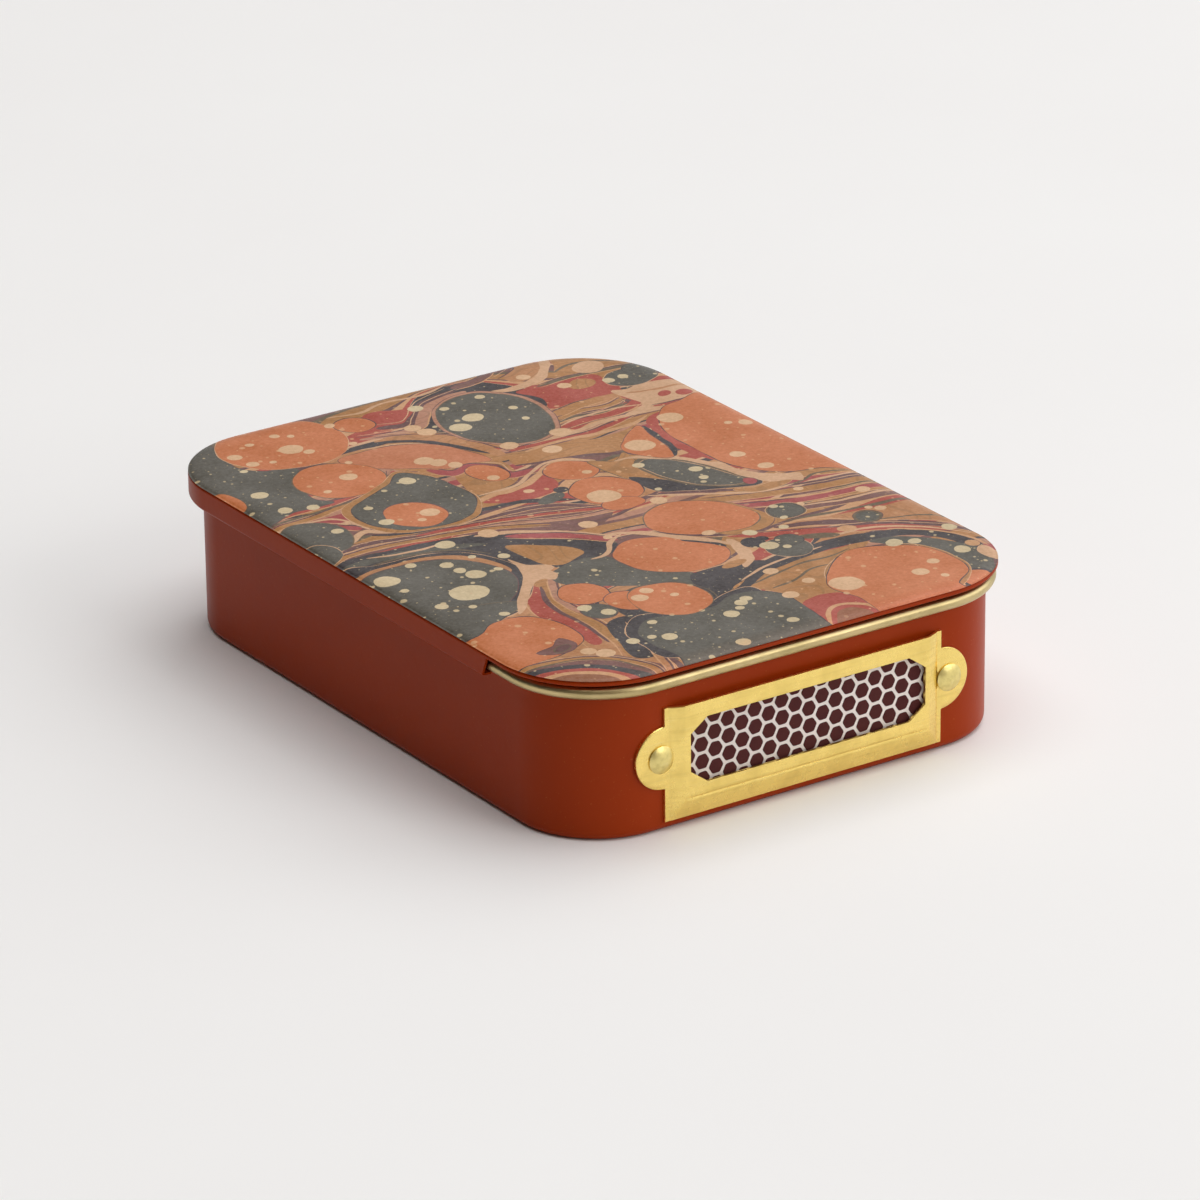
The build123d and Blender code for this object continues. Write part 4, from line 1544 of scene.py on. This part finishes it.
@dataclass
class SlideLid:
    """Pressed lid with a channel on three sides and a folded hem at the front."""

    width: float = 63.3
    length: float = 85.4
    centre_y: float = 0.25
    corner_radius: float = 11.95
    sheet: float = 0.3
    top: float = 19.15
    bend: float = 0.4
    hem_bottom: float = 18.55
    hem_width: float = 2.2
    hem_roll: float = 0.24
    hem_edge: float = 0.1
    hem_gap: float = 0.02
    lip_bottom: float = 16.25
    lip_reach: float = 1.4
    lip_edge: float = 0.12
    foot_radius: float = 0.5
    skirt_front: float = -27.6
    skirt_rake: float = 1.1
    panel_inset: float = 3.4

    def build(self) -> bpy.types.Object:
        """Sweep the channel and the hem along their parts of the plan and join them with the crown.

        Returns:
            The piece that stands for the slide lid.
        """
        maker = MeshMaker()
        plan = RoundedPlan(
            self.width, self.length, self.corner_radius, self.centre_y, side_steps=8, split_y=self.skirt_front
        )
        stations = plan.stations()
        split = next(
            index for index, (x, y, _, _) in enumerate(stations) if x < 0 and abs(y - self.skirt_front) < 1e-6
        )
        channel = self._sweep(maker, stations[: split + 1], self._channel_section(), raked=True)
        hem = self._sweep(maker, stations[split:] + stations[:1], self._hem_section(), raked=False)
        for end in (0, -1):
            maker.cap([maker.mesh.verts.new(each.co) for each in channel[end]])
            maker.cap([maker.mesh.verts.new(each.co) for each in hem[end]])
        for height in (self.top, self.top - self.sheet):
            maker.cap(maker.ring(plan.ring(-self.panel_inset, height)))
        bmesh.ops.remove_doubles(maker.mesh, verts=maker.mesh.verts, dist=1e-7)
        finishes = [EnamelFinish().material()]
        return maker.finish("slide_lid_shell", "lid", ["slide_lid"], finishes, crease=38.0)

    def _lean(self, height: float) -> float:
        """How far back a raked end of the channel lies at a height."""
        return self.skirt_rake * (max(self.hem_bottom - height, 0.0) / (self.hem_bottom - self.lip_bottom))

    def _sweep(
        self, maker: MeshMaker, stations: Sequence[Station], section: Sequence[Point], raked: bool
    ) -> list[list[bmesh.types.BMVert]]:
        """Sweep an open section along stations.

        Args:
            maker: The mesh to add to.
            stations: Stations of the plan.
            section: Pairs of an outset and a height.
            raked: Whether the two ends lean back below the hem.

        Returns:
            One row of vertices for each station.
        """
        rows = []
        for index, (x, y, nx, ny) in enumerate(stations):
            leans = raked and index in (0, len(stations) - 1)
            row = [
                (x + nx * outset, y + ny * outset + (self._lean(height) if leans else 0.0), height)
                for outset, height in section
            ]
            rows.append(maker.ring(row))
        maker.loft(rows, closed=False)
        return rows

    def _channel_section(self) -> list[Point]:
        """Section of the channelled edge, from the crown's top out, down, in under the bead and back.

        Returns:
            Pairs of an outset and a height.
        """
        sheet, foot, lip = self.sheet, self.foot_radius, self.lip_edge
        points = [(-self.panel_inset, self.top)]
        points += arc((-self.bend, self.top - self.bend), self.bend, 90.0, 0.0, 8)
        points += arc((-foot, self.lip_bottom + foot), foot, 0.0, -90.0, 8)
        points += arc((-self.lip_reach + lip, self.lip_bottom + lip), lip, -90.0, -180.0, 3)
        points += arc((-self.lip_reach + lip, self.lip_bottom + sheet - lip), lip, 180.0, 90.0, 3)
        points += arc((-foot, self.lip_bottom + foot), foot - sheet, -90.0, 0.0, 4)
        points += arc((-self.bend, self.top - self.bend), self.bend - sheet, 0.0, 90.0, 4)
        points += [(-self.panel_inset, self.top - sheet)]
        return points

    def _hem_section(self) -> list[Point]:
        """Section of the hemmed edge, from the crown's top out and folded back flat under it.

        Returns:
            Pairs of an outset and a height.
        """
        roll, width, edge = self.hem_roll, self.hem_width, self.hem_edge
        under = self.top - self.sheet
        points = [(-self.panel_inset, self.top)]
        points += arc((-self.bend, self.top - self.bend), self.bend, 90.0, 25.0, 7)
        points += arc((-roll, self.hem_bottom + roll), roll, 0.0, -90.0, 6)
        points += [(-width + edge, self.hem_bottom), (-width, self.hem_bottom + edge)]
        points += [(-width, under - self.hem_gap), (-width - edge, under)]
        points += [(-self.panel_inset, under)]
        return points


@dataclass
class MarbledPaper:
    """Paper facing glued on the lid, its edge rolled down a little."""

    width: float = 63.0
    length: float = 85.1
    centre_y: float = 0.25
    corner_radius: float = 11.8
    bottom: float = 19.15
    thickness: float = 0.3
    edge_reach: float = 2.1
    edge_fall: float = 0.27
    side: float = 0.13
    under_edge: Point = (0.05, 0.015)
    contours: tuple[float, ...] = (0.0, 0.08, 0.18, 0.34, 0.55, 0.8, 1.1, 1.5, 2.1)

    def build(self) -> bpy.types.Object:
        """Cut the marbled top, let its border fall away and close it below.

        Returns:
            The piece that stands for the paper.
        """
        plan = RoundedPlan(self.width, self.length, self.corner_radius, self.centre_y, corner_steps=40, side_steps=40)
        outline, *contours = ([(x, y) for x, y, _ in plan.ring(-inset, 0.0)] for inset in self.contours)
        points, faces, inks = MarblingBath().cut(outline, contours)
        maker = MeshMaker()
        flat = maker.ring([(point.x, point.y, self._surface(plan, point)) for point in points])
        slots = {ink: index for index, ink in enumerate(Ink)}
        border: dict[tuple[int, int], int] = {}
        for face, ink in zip(faces, inks):
            maker.cap([flat[index] for index in face], slots[ink])
            for here, there in sides(face):
                if border.pop((there, here), None) is None:
                    border[(here, there)] = slots[ink]
        self._close(maker, plan, points, flat, border)
        maker.drop_loose()
        finishes = [InkFinish(ink).material() for ink in Ink]
        return maker.finish("marbled_paper_sheet", "lid", ["marbled_paper"], finishes, crease=50.0)

    def _surface(self, plan: RoundedPlan, point: Vector) -> float:
        """Height of the paper's face, which falls away towards the edge.

        Args:
            plan: The paper's plan.
            point: Where on the sheet.

        Returns:
            The height.
        """
        top = self.bottom + self.thickness
        inset = plan.inset(point.x, point.y) - self.side
        if inset >= self.edge_reach:
            return top
        share = 1 - max(inset, 0.0) / self.edge_reach
        return top - self.edge_fall * (1 - math.sqrt(max(1 - share * share, 0.0)))

    def _close(
        self,
        maker: MeshMaker,
        plan: RoundedPlan,
        points: Sequence[Vector],
        flat: Sequence[bmesh.types.BMVert],
        border: Mapping[tuple[int, int], int],
    ) -> None:
        """Carry the inks down the paper's side and close the underside.

        Args:
            maker: The mesh to add to.
            plan: The paper's plan.
            points: The sheet's points.
            flat: Their vertices.
            border: Material slot of each border edge, which runs anticlockwise.
        """
        inward, rise = self.under_edge
        section = [(self.side, self.bottom + rise), (self.side - inward, self.bottom)]
        columns: dict[int, list[bmesh.types.BMVert]] = {}
        for index, _ in border:
            x, y = points[index]
            out_x, out_y = plan.outward(x, y)
            rolled = [(x + out_x * out, y + out_y * out, height) for out, height in section]
            columns[index] = [flat[index], *maker.ring(rolled)]
        for (here, there), slot in border.items():
            maker.bridge(columns[there], columns[here], closed=False, slot=slot)
        onward = dict(border.keys())
        loop = [next(iter(onward))]
        while onward[loop[-1]] != loop[0]:
            loop.append(onward[loop[-1]])
        maker.cap([columns[index][-1] for index in loop], smooth=False)


@dataclass
class LabelFrame:
    """Pressed brass frame with a raised panel, an eight-sided window and two round ears."""

    wall: float = -41.3
    width: float = 36.8
    bottom: float = 1.15
    top: float = 14.45
    sheet: float = 0.35
    proud: float = 1.1
    panel_width: float = 32.5
    flange: float = 0.45
    bottom_slope: float = 2.25
    window_width: float = 31.2
    window_height: float = 7.6
    window_chamfer: Point = (2.2, 1.6)
    window_shift: Point = (0.1, 0.1)
    drift: float = 0.14
    centre_height: float = 8.7
    ear_radius: float = 3.65
    ear_steps: int = 40
    ear_edge: float = 0.6
    ear_fall: float = 0.1
    groove: float = 0.12
    groove_width: float = 0.15
    foot_groove: float = 0.12
    side_groove: float = 0.1
    side_groove_share: float = 0.6
    corner_ease: float = 0.05
    foot_ease: float = 0.1
    panel_ease: float = 0.08
    edge_round: float = 0.07
    grid: float = 0.3
    bend_grid_share: float = 0.3
    bend_reach: float = 0.5
    bottom_bend: float = 0.3
    clearance: float = 0.12
    merge: float = 1e-5

    def build(self) -> bpy.types.Object:
        """Triangulate the frame's outline with its window, press it into shape and give it thickness.

        Returns:
            The piece that stands for the label frame.
        """
        outline, window = self._outline(), self._window()
        points = [Vector(point) for point in outline + window + self._crease_points(outline, window)]
        count, hole = len(outline), len(window)
        edges = list(sides(range(count))) + list(sides(range(count, count + hole)))
        flat, _, faces, *_ = delaunay_2d_cdt(points, edges, [], TO_THE_HULL, self.merge)
        maker = MeshMaker()
        spots = [(p.x + self.drift, self.wall - self._height(p.x, p.y), p.y) for p in flat]
        front = maker.ring(spots)
        back = maker.ring([(x, y + self.sheet, z) for x, y, z in spots])
        middles = np.array([tuple(point) for point in flat])[np.array(faces)].mean(axis=1)
        rim: list[tuple[int, int]] = []
        for face, inside in zip(faces, covered(middles, outline) & ~covered(middles, window)):
            if inside:
                maker.cap([front[index] for index in face])
                maker.cap([back[index] for index in reversed(face)])
                rim.extend(sides(face))
        known = set(rim)
        for here, there in rim:
            if (there, here) not in known:
                maker.cap([front[there], front[here], back[here], back[there]])
        maker.drop_loose()
        kept = {each for each in front if each.is_valid}
        sharp = [edge for edge in maker.mesh.edges if kept.issuperset(edge.verts) and edge.calc_face_angle(0.0) > 1.0]
        offset = self.edge_round * METRES
        bmesh.ops.bevel(maker.mesh, geom=sharp, offset=offset, segments=2, profile=0.5, affect="EDGES")
        finishes = [BRASS.material()]
        return maker.finish("label_frame_pressing", "tin", ["label_frame"], finishes, crease=35.0)

    def _height(self, x: float, z: float) -> float:
        """How far the front stands off the wall.

        Args:
            x: Place across the frame.
            z: Height on the wall.

        Returns:
            The distance from the wall to the front face.
        """
        half = self.width / 2
        side = (half - self.flange - abs(x)) / (half - self.flange - self.panel_width / 2)
        low = (z - self.bottom) / self.bottom_slope
        share = -self._soft_max(-side, -low, self.corner_ease)
        share = self._soft_max(share, 0.0, self.foot_ease)
        share = -self._soft_max(-share, -1.0, self.panel_ease)
        step = (self.proud - self.sheet) * min(max(share, 0.0), 1.0)
        foot = (self.bottom + self.bottom_slope + self.foot_groove - z) / self.groove_width
        edge = (abs(x) - half + self.flange + self.side_groove) / self.groove_width
        sink = math.exp(-foot * foot) * min(max(side - 1, 0.0) * 3, 1.0)
        sink += self.side_groove_share * math.exp(-edge * edge)
        rim = math.hypot(abs(x) - half, z - self.centre_height) - self.ear_radius + self.ear_edge
        fall = self.ear_fall * (max(rim, 0.0) / self.ear_edge) ** 2 if abs(x) > half else 0.0
        return self.sheet + step - self.groove * sink - fall

    @staticmethod
    def _soft_max(first: float, second: float, ease: float) -> float:
        """The larger of two numbers, eased where they come closer than the ease."""
        gap = max(ease - abs(first - second), 0.0) / ease
        return max(first, second) + gap * gap * ease / 4

    def _outline(self) -> list[Point]:
        """Outline of the frame with its two ears, anticlockwise from the lower left.

        Returns:
            The outline's points.
        """
        half = self.width / 2
        right = arc((half, self.centre_height), self.ear_radius, -90.0, 90.0, self.ear_steps)
        left = arc((-half, self.centre_height), self.ear_radius, 90.0, 270.0, self.ear_steps)
        corners = [(-half, self.bottom), (half, self.bottom), *right, (half, self.top), (-half, self.top), *left]
        return self._divide(corners)

    def _window(self) -> list[Point]:
        """Outline of the eight-sided window, anticlockwise.

        Returns:
            The outline's points.
        """
        half_x = self.window_width / 2
        half_z = self.window_height / 2
        cut_x, cut_z = self.window_chamfer
        shift_x, shift_z = self.window_shift
        middle = self.centre_height + shift_z
        corners = []
        for across, up in ((-1, -1), (1, -1), (1, 1), (-1, 1)):
            side = (shift_x + across * half_x, middle + up * (half_z - cut_z))
            end = (shift_x + across * (half_x - cut_x), middle + up * half_z)
            corners += [side, end] if across * up > 0 else [end, side]
        return self._divide(corners)

    def _divide(self, corners: Sequence[Point]) -> list[Point]:
        """Split the sides of a loop so that none is much longer than the grid.

        Args:
            corners: The loop's corners.

        Returns:
            The loop with the added points.
        """
        found: list[Point] = []
        for here, there in sides(corners):
            steps = max(round(math.dist(here, there) / self.grid), 1)
            for step in range(steps):
                share = step / steps
                found.append((here[0] + (there[0] - here[0]) * share, here[1] + (there[1] - here[1]) * share))
        return found

    def _crease_points(self, outline: Sequence[Point], window: Sequence[Point]) -> list[Point]:
        """Grid of points inside the frame, close together where the sheet bends.

        Args:
            outline: The frame's outline.
            window: The window's outline.

        Returns:
            The points that lie clear of both outlines.
        """
        edge = self.width / 2 - self.flange
        panel = self.panel_width / 2
        reach = self.width / 2 + self.ear_radius
        columns = self._lines(-reach, reach, (-edge, -panel, panel, edge))
        bends = (self.bottom + self.bottom_slope, self.bottom + self.bottom_bend)
        rows = self._lines(self.bottom, self.top, bends)
        grid = np.array([(x, z) for x in columns for z in rows])
        # The plane is cut in single precision, and the lowest row falls outside the frame in it.
        single = grid.astype(np.float32)
        grid = grid[covered(single, outline) & ~covered(single, window)]
        for loop in (outline, window):
            apart = np.abs(grid[:, None] - np.array(loop))
            grid = grid[(apart > self.clearance).any(axis=2).all(axis=1)]
        return grid.tolist()

    def _lines(self, start: float, end: float, bends: Sequence[float]) -> list[float]:
        """Places of grid lines, closer near the bends.

        Args:
            start: First place.
            end: Last place.
            bends: Where the sheet bends.

        Returns:
            The places, in order.
        """
        found = []
        here = start
        while here < end:
            found.append(here)
            near = min(abs(here - bend) for bend in bends)
            here += self.grid * (self.bend_grid_share if near < self.bend_reach else 1.0)
        return found


class Side(Enum):
    """The two ends of the label frame."""

    LEFT = -1
    RIGHT = 1


@dataclass
class FrameRivet:
    """Domed brass rivet through an ear of the label frame."""

    side: Side
    pitch: float = 38.3
    drift: float = 0.4
    height: float = 8.65
    seat: float = -41.65
    head_radius: float = 1.6
    head_height: float = 0.62
    head_side: float = 0.14
    head_taper: float = 0.08
    dome_share: float = 0.96
    dome_steps: int = 14
    shank_radius: float = 0.8
    tail_radius: float = 1.25
    tail_seat: float = 0.68
    tail_height: float = 0.55
    tail_edge: float = 0.2
    steps: int = 48

    def build(self) -> bpy.types.Object:
        """Turn the rivet's half section about its axis.

        Returns:
            The piece that stands for the rivet.
        """
        maker = MeshMaker()
        section = self._section()
        centre_x = self.side.value * self.pitch / 2 + self.drift
        rings = []
        for radius, depth in section[1:-1]:
            round_axis = arc((centre_x, self.height), radius, 0.0, 360.0, self.steps)[:-1]
            rings.append(maker.ring([(x, self.seat + depth, z) for x, z in round_axis]))
        maker.loft(rings)
        for ring, (_, depth) in ((rings[0], section[0]), (rings[-1], section[-1])):
            middle = maker.ring([(centre_x, self.seat + depth, self.height)])[0]
            for here, there in sides(ring):
                maker.cap([here, there, middle])
        name = f"{self.side.name.lower()}_rivet"
        return maker.finish(f"{name}_turned", "tin", [name], [RIVET_BRASS.material()], crease=50.0)

    def _section(self) -> list[Point]:
        """Half section from the head's crown to the tail's end.

        Returns:
            Pairs of a radius and a depth behind the ear's face.
        """
        rise = self.head_height - self.head_side
        sphere = (self.head_radius**2 + rise**2) / (2 * rise)
        points = []
        for step in range(self.dome_steps + 1):
            radius = self.head_radius * self.dome_share * math.sin(math.pi / 2 * step / self.dome_steps)
            points.append((radius, sphere - self.head_height - math.sqrt(sphere**2 - radius**2)))
        points += [(self.head_radius, -self.head_side), (self.head_radius - self.head_taper, 0.0)]
        end = self.tail_seat + self.tail_height
        points += [(self.shank_radius, 0.0), (self.shank_radius, self.tail_seat), (self.tail_radius, self.tail_seat)]
        points += [(self.tail_radius, end - self.tail_edge), (self.tail_radius - self.tail_edge, end), (0.0, end)]
        return points


@dataclass
class Striker:
    """Card in the label frame, screened with six-sided patches of striking compound."""

    wall: float = -41.3
    card_width: float = 33.1
    card_bottom: float = 2.425
    card_top: float = 13.95
    card_thickness: float = 0.4
    card_corner: float = 0.35
    patch_thickness: float = 0.06
    patch_sink: float = 0.01
    patch_taper: float = 0.96
    pitch: float = 2.037
    column_pitch: float = 1.775
    gap: float = 0.35
    tilt: float = 2.45
    origin: Point = (0.73, 7.7)
    field_width: float = 32.2
    field_height: float = 8.4
    centre_height: float = 8.7
    corner_share: float = 0.22
    corner_steps: int = 4
    wobble: float = 0.05

    def build(self) -> list[bpy.types.Object]:
        """Build the card and its patches."""
        return [self._card(), self._patches()]

    def _card(self) -> bpy.types.Object:
        """Build the card with rounded corners and softened edges.

        Returns:
            The piece that stands for the card.
        """
        maker = MeshMaker()
        height = self.card_top - self.card_bottom
        middle = self.card_bottom + height / 2
        plan = RoundedPlan(self.card_width, height, self.card_corner, middle, corner_steps=6, side_steps=1)
        front = self.wall - self.card_thickness
        section = [(-0.06, front), (-0.02, front + 0.03), (0.0, front + 0.08), (0.0, self.wall)]
        rings = [maker.ring([(x, depth, z) for x, z, _ in plan.ring(outset, 0.0)]) for outset, depth in section]
        maker.loft(rings)
        maker.cap(rings[0])
        maker.cap(rings[-1])
        return maker.finish("striker_card_sheet", "tin", ["striker_card"], [CardFinish().material()])

    def _patches(self) -> bpy.types.Object:
        """Build patches with rounded corners and slightly uneven edges, cut off at the field's border.

        Returns:
            The piece that stands for the patches.
        """
        maker = MeshMaker()
        radius = (self.pitch - self.gap) / math.sqrt(3)
        columns = math.ceil(self.field_width / self.column_pitch / 2) + 1
        rows = math.ceil(self.field_height / self.pitch / 2) + 1
        lean = Matrix.Rotation(math.radians(self.tilt), 2)
        back = self.wall - self.card_thickness
        front = back - self.patch_thickness
        for column in range(-columns, columns + 1):
            for row in range(-rows, rows + 1):
                spot = lean @ Vector((column * self.column_pitch, (row + column % 2 / 2) * self.pitch))
                loop = self._trim(self._patch(spot + Vector(self.origin), radius))
                if len(loop) < 3:
                    continue
                middle = sum((Vector(point) for point in loop), Vector((0.0, 0.0))) / len(loop)
                inner = [tuple(middle + (Vector(point) - middle) * self.patch_taper) for point in loop]
                low = maker.ring([(px, back + self.patch_sink, pz) for px, pz in loop])
                high = maker.ring([(px, front, pz) for px, pz in inner])
                maker.bridge(low, high)
                maker.cap(high)
        finishes = [StrikingFinish().material()]
        return maker.finish("striker_patches_print", "tin", ["striker_patches"], finishes)

    def _patch(self, middle: Vector, radius: float) -> list[Point]:
        """Outline of one patch.

        Args:
            middle: Its middle, across and upwards.
            radius: Its radius over the corners.

        Returns:
            The outline.
        """
        lean = math.radians(self.tilt)
        corners = [
            middle + Vector((math.cos(math.pi / 3 * turn + lean), math.sin(math.pi / 3 * turn + lean))) * radius
            for turn in range(6)
        ]
        points: list[Point] = []
        for index, corner in enumerate(corners):
            before = corner.lerp(corners[index - 1], self.corner_share)
            after = corner.lerp(corners[(index + 1) % 6], self.corner_share)
            for step in range(self.corner_steps + 1):
                share = step / self.corner_steps
                point = before.lerp(corner, share).lerp(corner.lerp(after, share), share)
                wobble = noise.noise(Vector((point.x * 1.7, point.y * 1.7, 3.1))) * self.wobble
                outward = (point - middle).normalized()
                points.append(tuple(point + outward * wobble))
        return points

    def _trim(self, loop: Sequence[Point]) -> list[Point]:
        """Hold a patch within the printed field.

        Args:
            loop: The patch's outline.

        Returns:
            The part inside the field, or nothing where no part is.
        """
        half_x = self.field_width / 2
        half_z = self.field_height / 2
        low = self.centre_height - half_z
        high = self.centre_height + half_z
        points = list(loop)
        for axis, limit, sign in ((0, -half_x, 1), (0, half_x, -1), (1, low, 1), (1, high, -1)):
            kept: list[Point] = []
            for here, there in sides(points):
                side_here = (here[axis] - limit) * sign
                side_there = (there[axis] - limit) * sign
                if side_here >= 0:
                    kept.append(here)
                if side_here * side_there < 0:
                    share = side_here / (side_here - side_there)
                    kept.append(tuple(a + (b - a) * share for a, b in zip(here, there)))
            points = kept
        return points


# Studio


@dataclass(frozen=True)
class Softbox:
    """Square lamp aimed at the tin, with its place and size in metres and its power in watts."""

    name: str
    place: Place
    size: float
    power: float
    colour: Colour

    def build(self) -> None:
        """Hang the lamp."""
        data = bpy.data.lights.new(self.name, "AREA")
        data.shape = "RECTANGLE"
        data.size, data.size_y = self.size, self.size
        data.energy = self.power
        data.color = self.colour
        lamp = bpy.data.objects.new(self.name, data)
        lamp.location = self.place
        lamp.rotation_euler = (Vector() - Vector(self.place)).to_track_quat("-Z", "Y").to_euler()
        bpy.context.scene.collection.objects.link(lamp)


@dataclass
class Studio:
    """Pale floor, soft light and the photograph's camera."""

    eye: Place = (-0.39286, -0.58689, 0.30438)
    right: Place = (0.827525, -0.561337, -0.010158)
    down: Place = (-0.224774, -0.314675, -0.922202)
    forward: Place = (0.514469, 0.765428, -0.386576)
    lens: float = 203.5
    sensor: float = 36.0
    floor_half: float = 3.0
    lamps: tuple[Softbox, ...] = (
        Softbox("overhead_softbox", (0.0, 0.0, 1.5), 1.5, 13.8, (1.0, 1.0, 1.0)),
        Softbox("key_softbox", (1.15, -0.45, 1.05), 1.6, 4.5, (0.96, 1.0, 1.04)),
        Softbox("side_softbox", (1.5, -0.5, 0.6), 0.8, 2.1, (0.98, 1.0, 1.02)),
        Softbox("back_softbox", (0.9, 0.5, 1.1), 0.8, 2.7, (1.0, 1.0, 1.0)),
        Softbox("front_softbox", (0.6, -1.4, 0.8), 0.8, 6.2, (1.0, 0.99, 0.98)),
    )

    def build(self) -> None:
        """Set up the camera, the floor, the world and the lamps."""
        scene = bpy.context.scene
        scene.view_settings.view_transform = "Standard"
        self._camera(scene)
        self._floor()
        self._world(scene)
        for lamp in self.lamps:
            lamp.build()

    def _camera(self, scene: bpy.types.Scene) -> None:
        """Camera of the photograph.

        Args:
            scene: The scene that it belongs to.
        """
        data = bpy.data.cameras.new("photo_camera")
        data.lens = self.lens
        data.sensor_fit = "HORIZONTAL"
        data.sensor_width = self.sensor
        data.clip_start = 0.01
        data.clip_end = 20.0
        camera = bpy.data.objects.new("photo_camera", data)
        columns = (Vector(self.right), -Vector(self.down), -Vector(self.forward))
        turn = Matrix(columns).transposed().to_4x4()
        camera.matrix_world = Matrix.Translation(Vector(self.eye)) @ turn
        scene.collection.objects.link(camera)
        scene.camera = camera

    def _floor(self) -> None:
        """Wide pale floor."""
        maker = bmesh.new()
        bmesh.ops.create_grid(maker, x_segments=4, y_segments=4, size=self.floor_half)
        data = bpy.data.meshes.new("floor")
        maker.to_mesh(data)
        maker.free()
        floor = bpy.data.objects.new("floor", data)
        bpy.context.scene.collection.objects.link(floor)
        tree = ShaderTree("pale_floor")
        mottle = tree.cloud(tree.place(), size=60.0, detail=3.0)
        base = tree.mix(mottle, linear("f2f0ef"), linear("f5f4f3"))
        data.materials.append(tree.surface(Base_Color=base, Roughness=0.8, Specular_IOR_Level=0.2))
    def _world(self, scene: bpy.types.Scene) -> None:
        """Surroundings that are bright to the right, a little bright in front, and white for the camera.

        Args:
            scene: The scene that they belong to.
        """
        tree = ShaderTree("pale_room", "worlds")
        way = tree.node("ShaderNodeTexCoord", output="Generated")
        level = way.dot((0.74, 0.0, 0.0)).at_least(0.0) + 0.03
        warm = way.dot((0.0, -0.2, 0.0)).at_least(0.0)
        direct = tree.node("ShaderNodeLightPath", output="Is Camera Ray")
        front = tree.mix(warm, 0.0, (1.0, 0.8, 0.6))
        side = tree.mix(level, 0.0, 1.0)
        shown = tree.mix(direct, front + side, 1.0)
        sky = tree.node("ShaderNodeBackground", {}, {"Color": shown})
        tree.node("ShaderNodeOutputWorld", {}, {0: sky})
        scene.world = tree.owner


def main() -> None:
    """Build the studio and the pieces."""
    logging.basicConfig(level=logging.INFO, format="%(name)s: %(message)s")
    Studio().build()
    rivets = [FrameRivet(side) for side in Side]
    for part in (TinBody(), SlideLid(), MarbledPaper(), LabelFrame(), Striker(), *rivets):
        part.build()


if __name__ == "__main__":
    main()
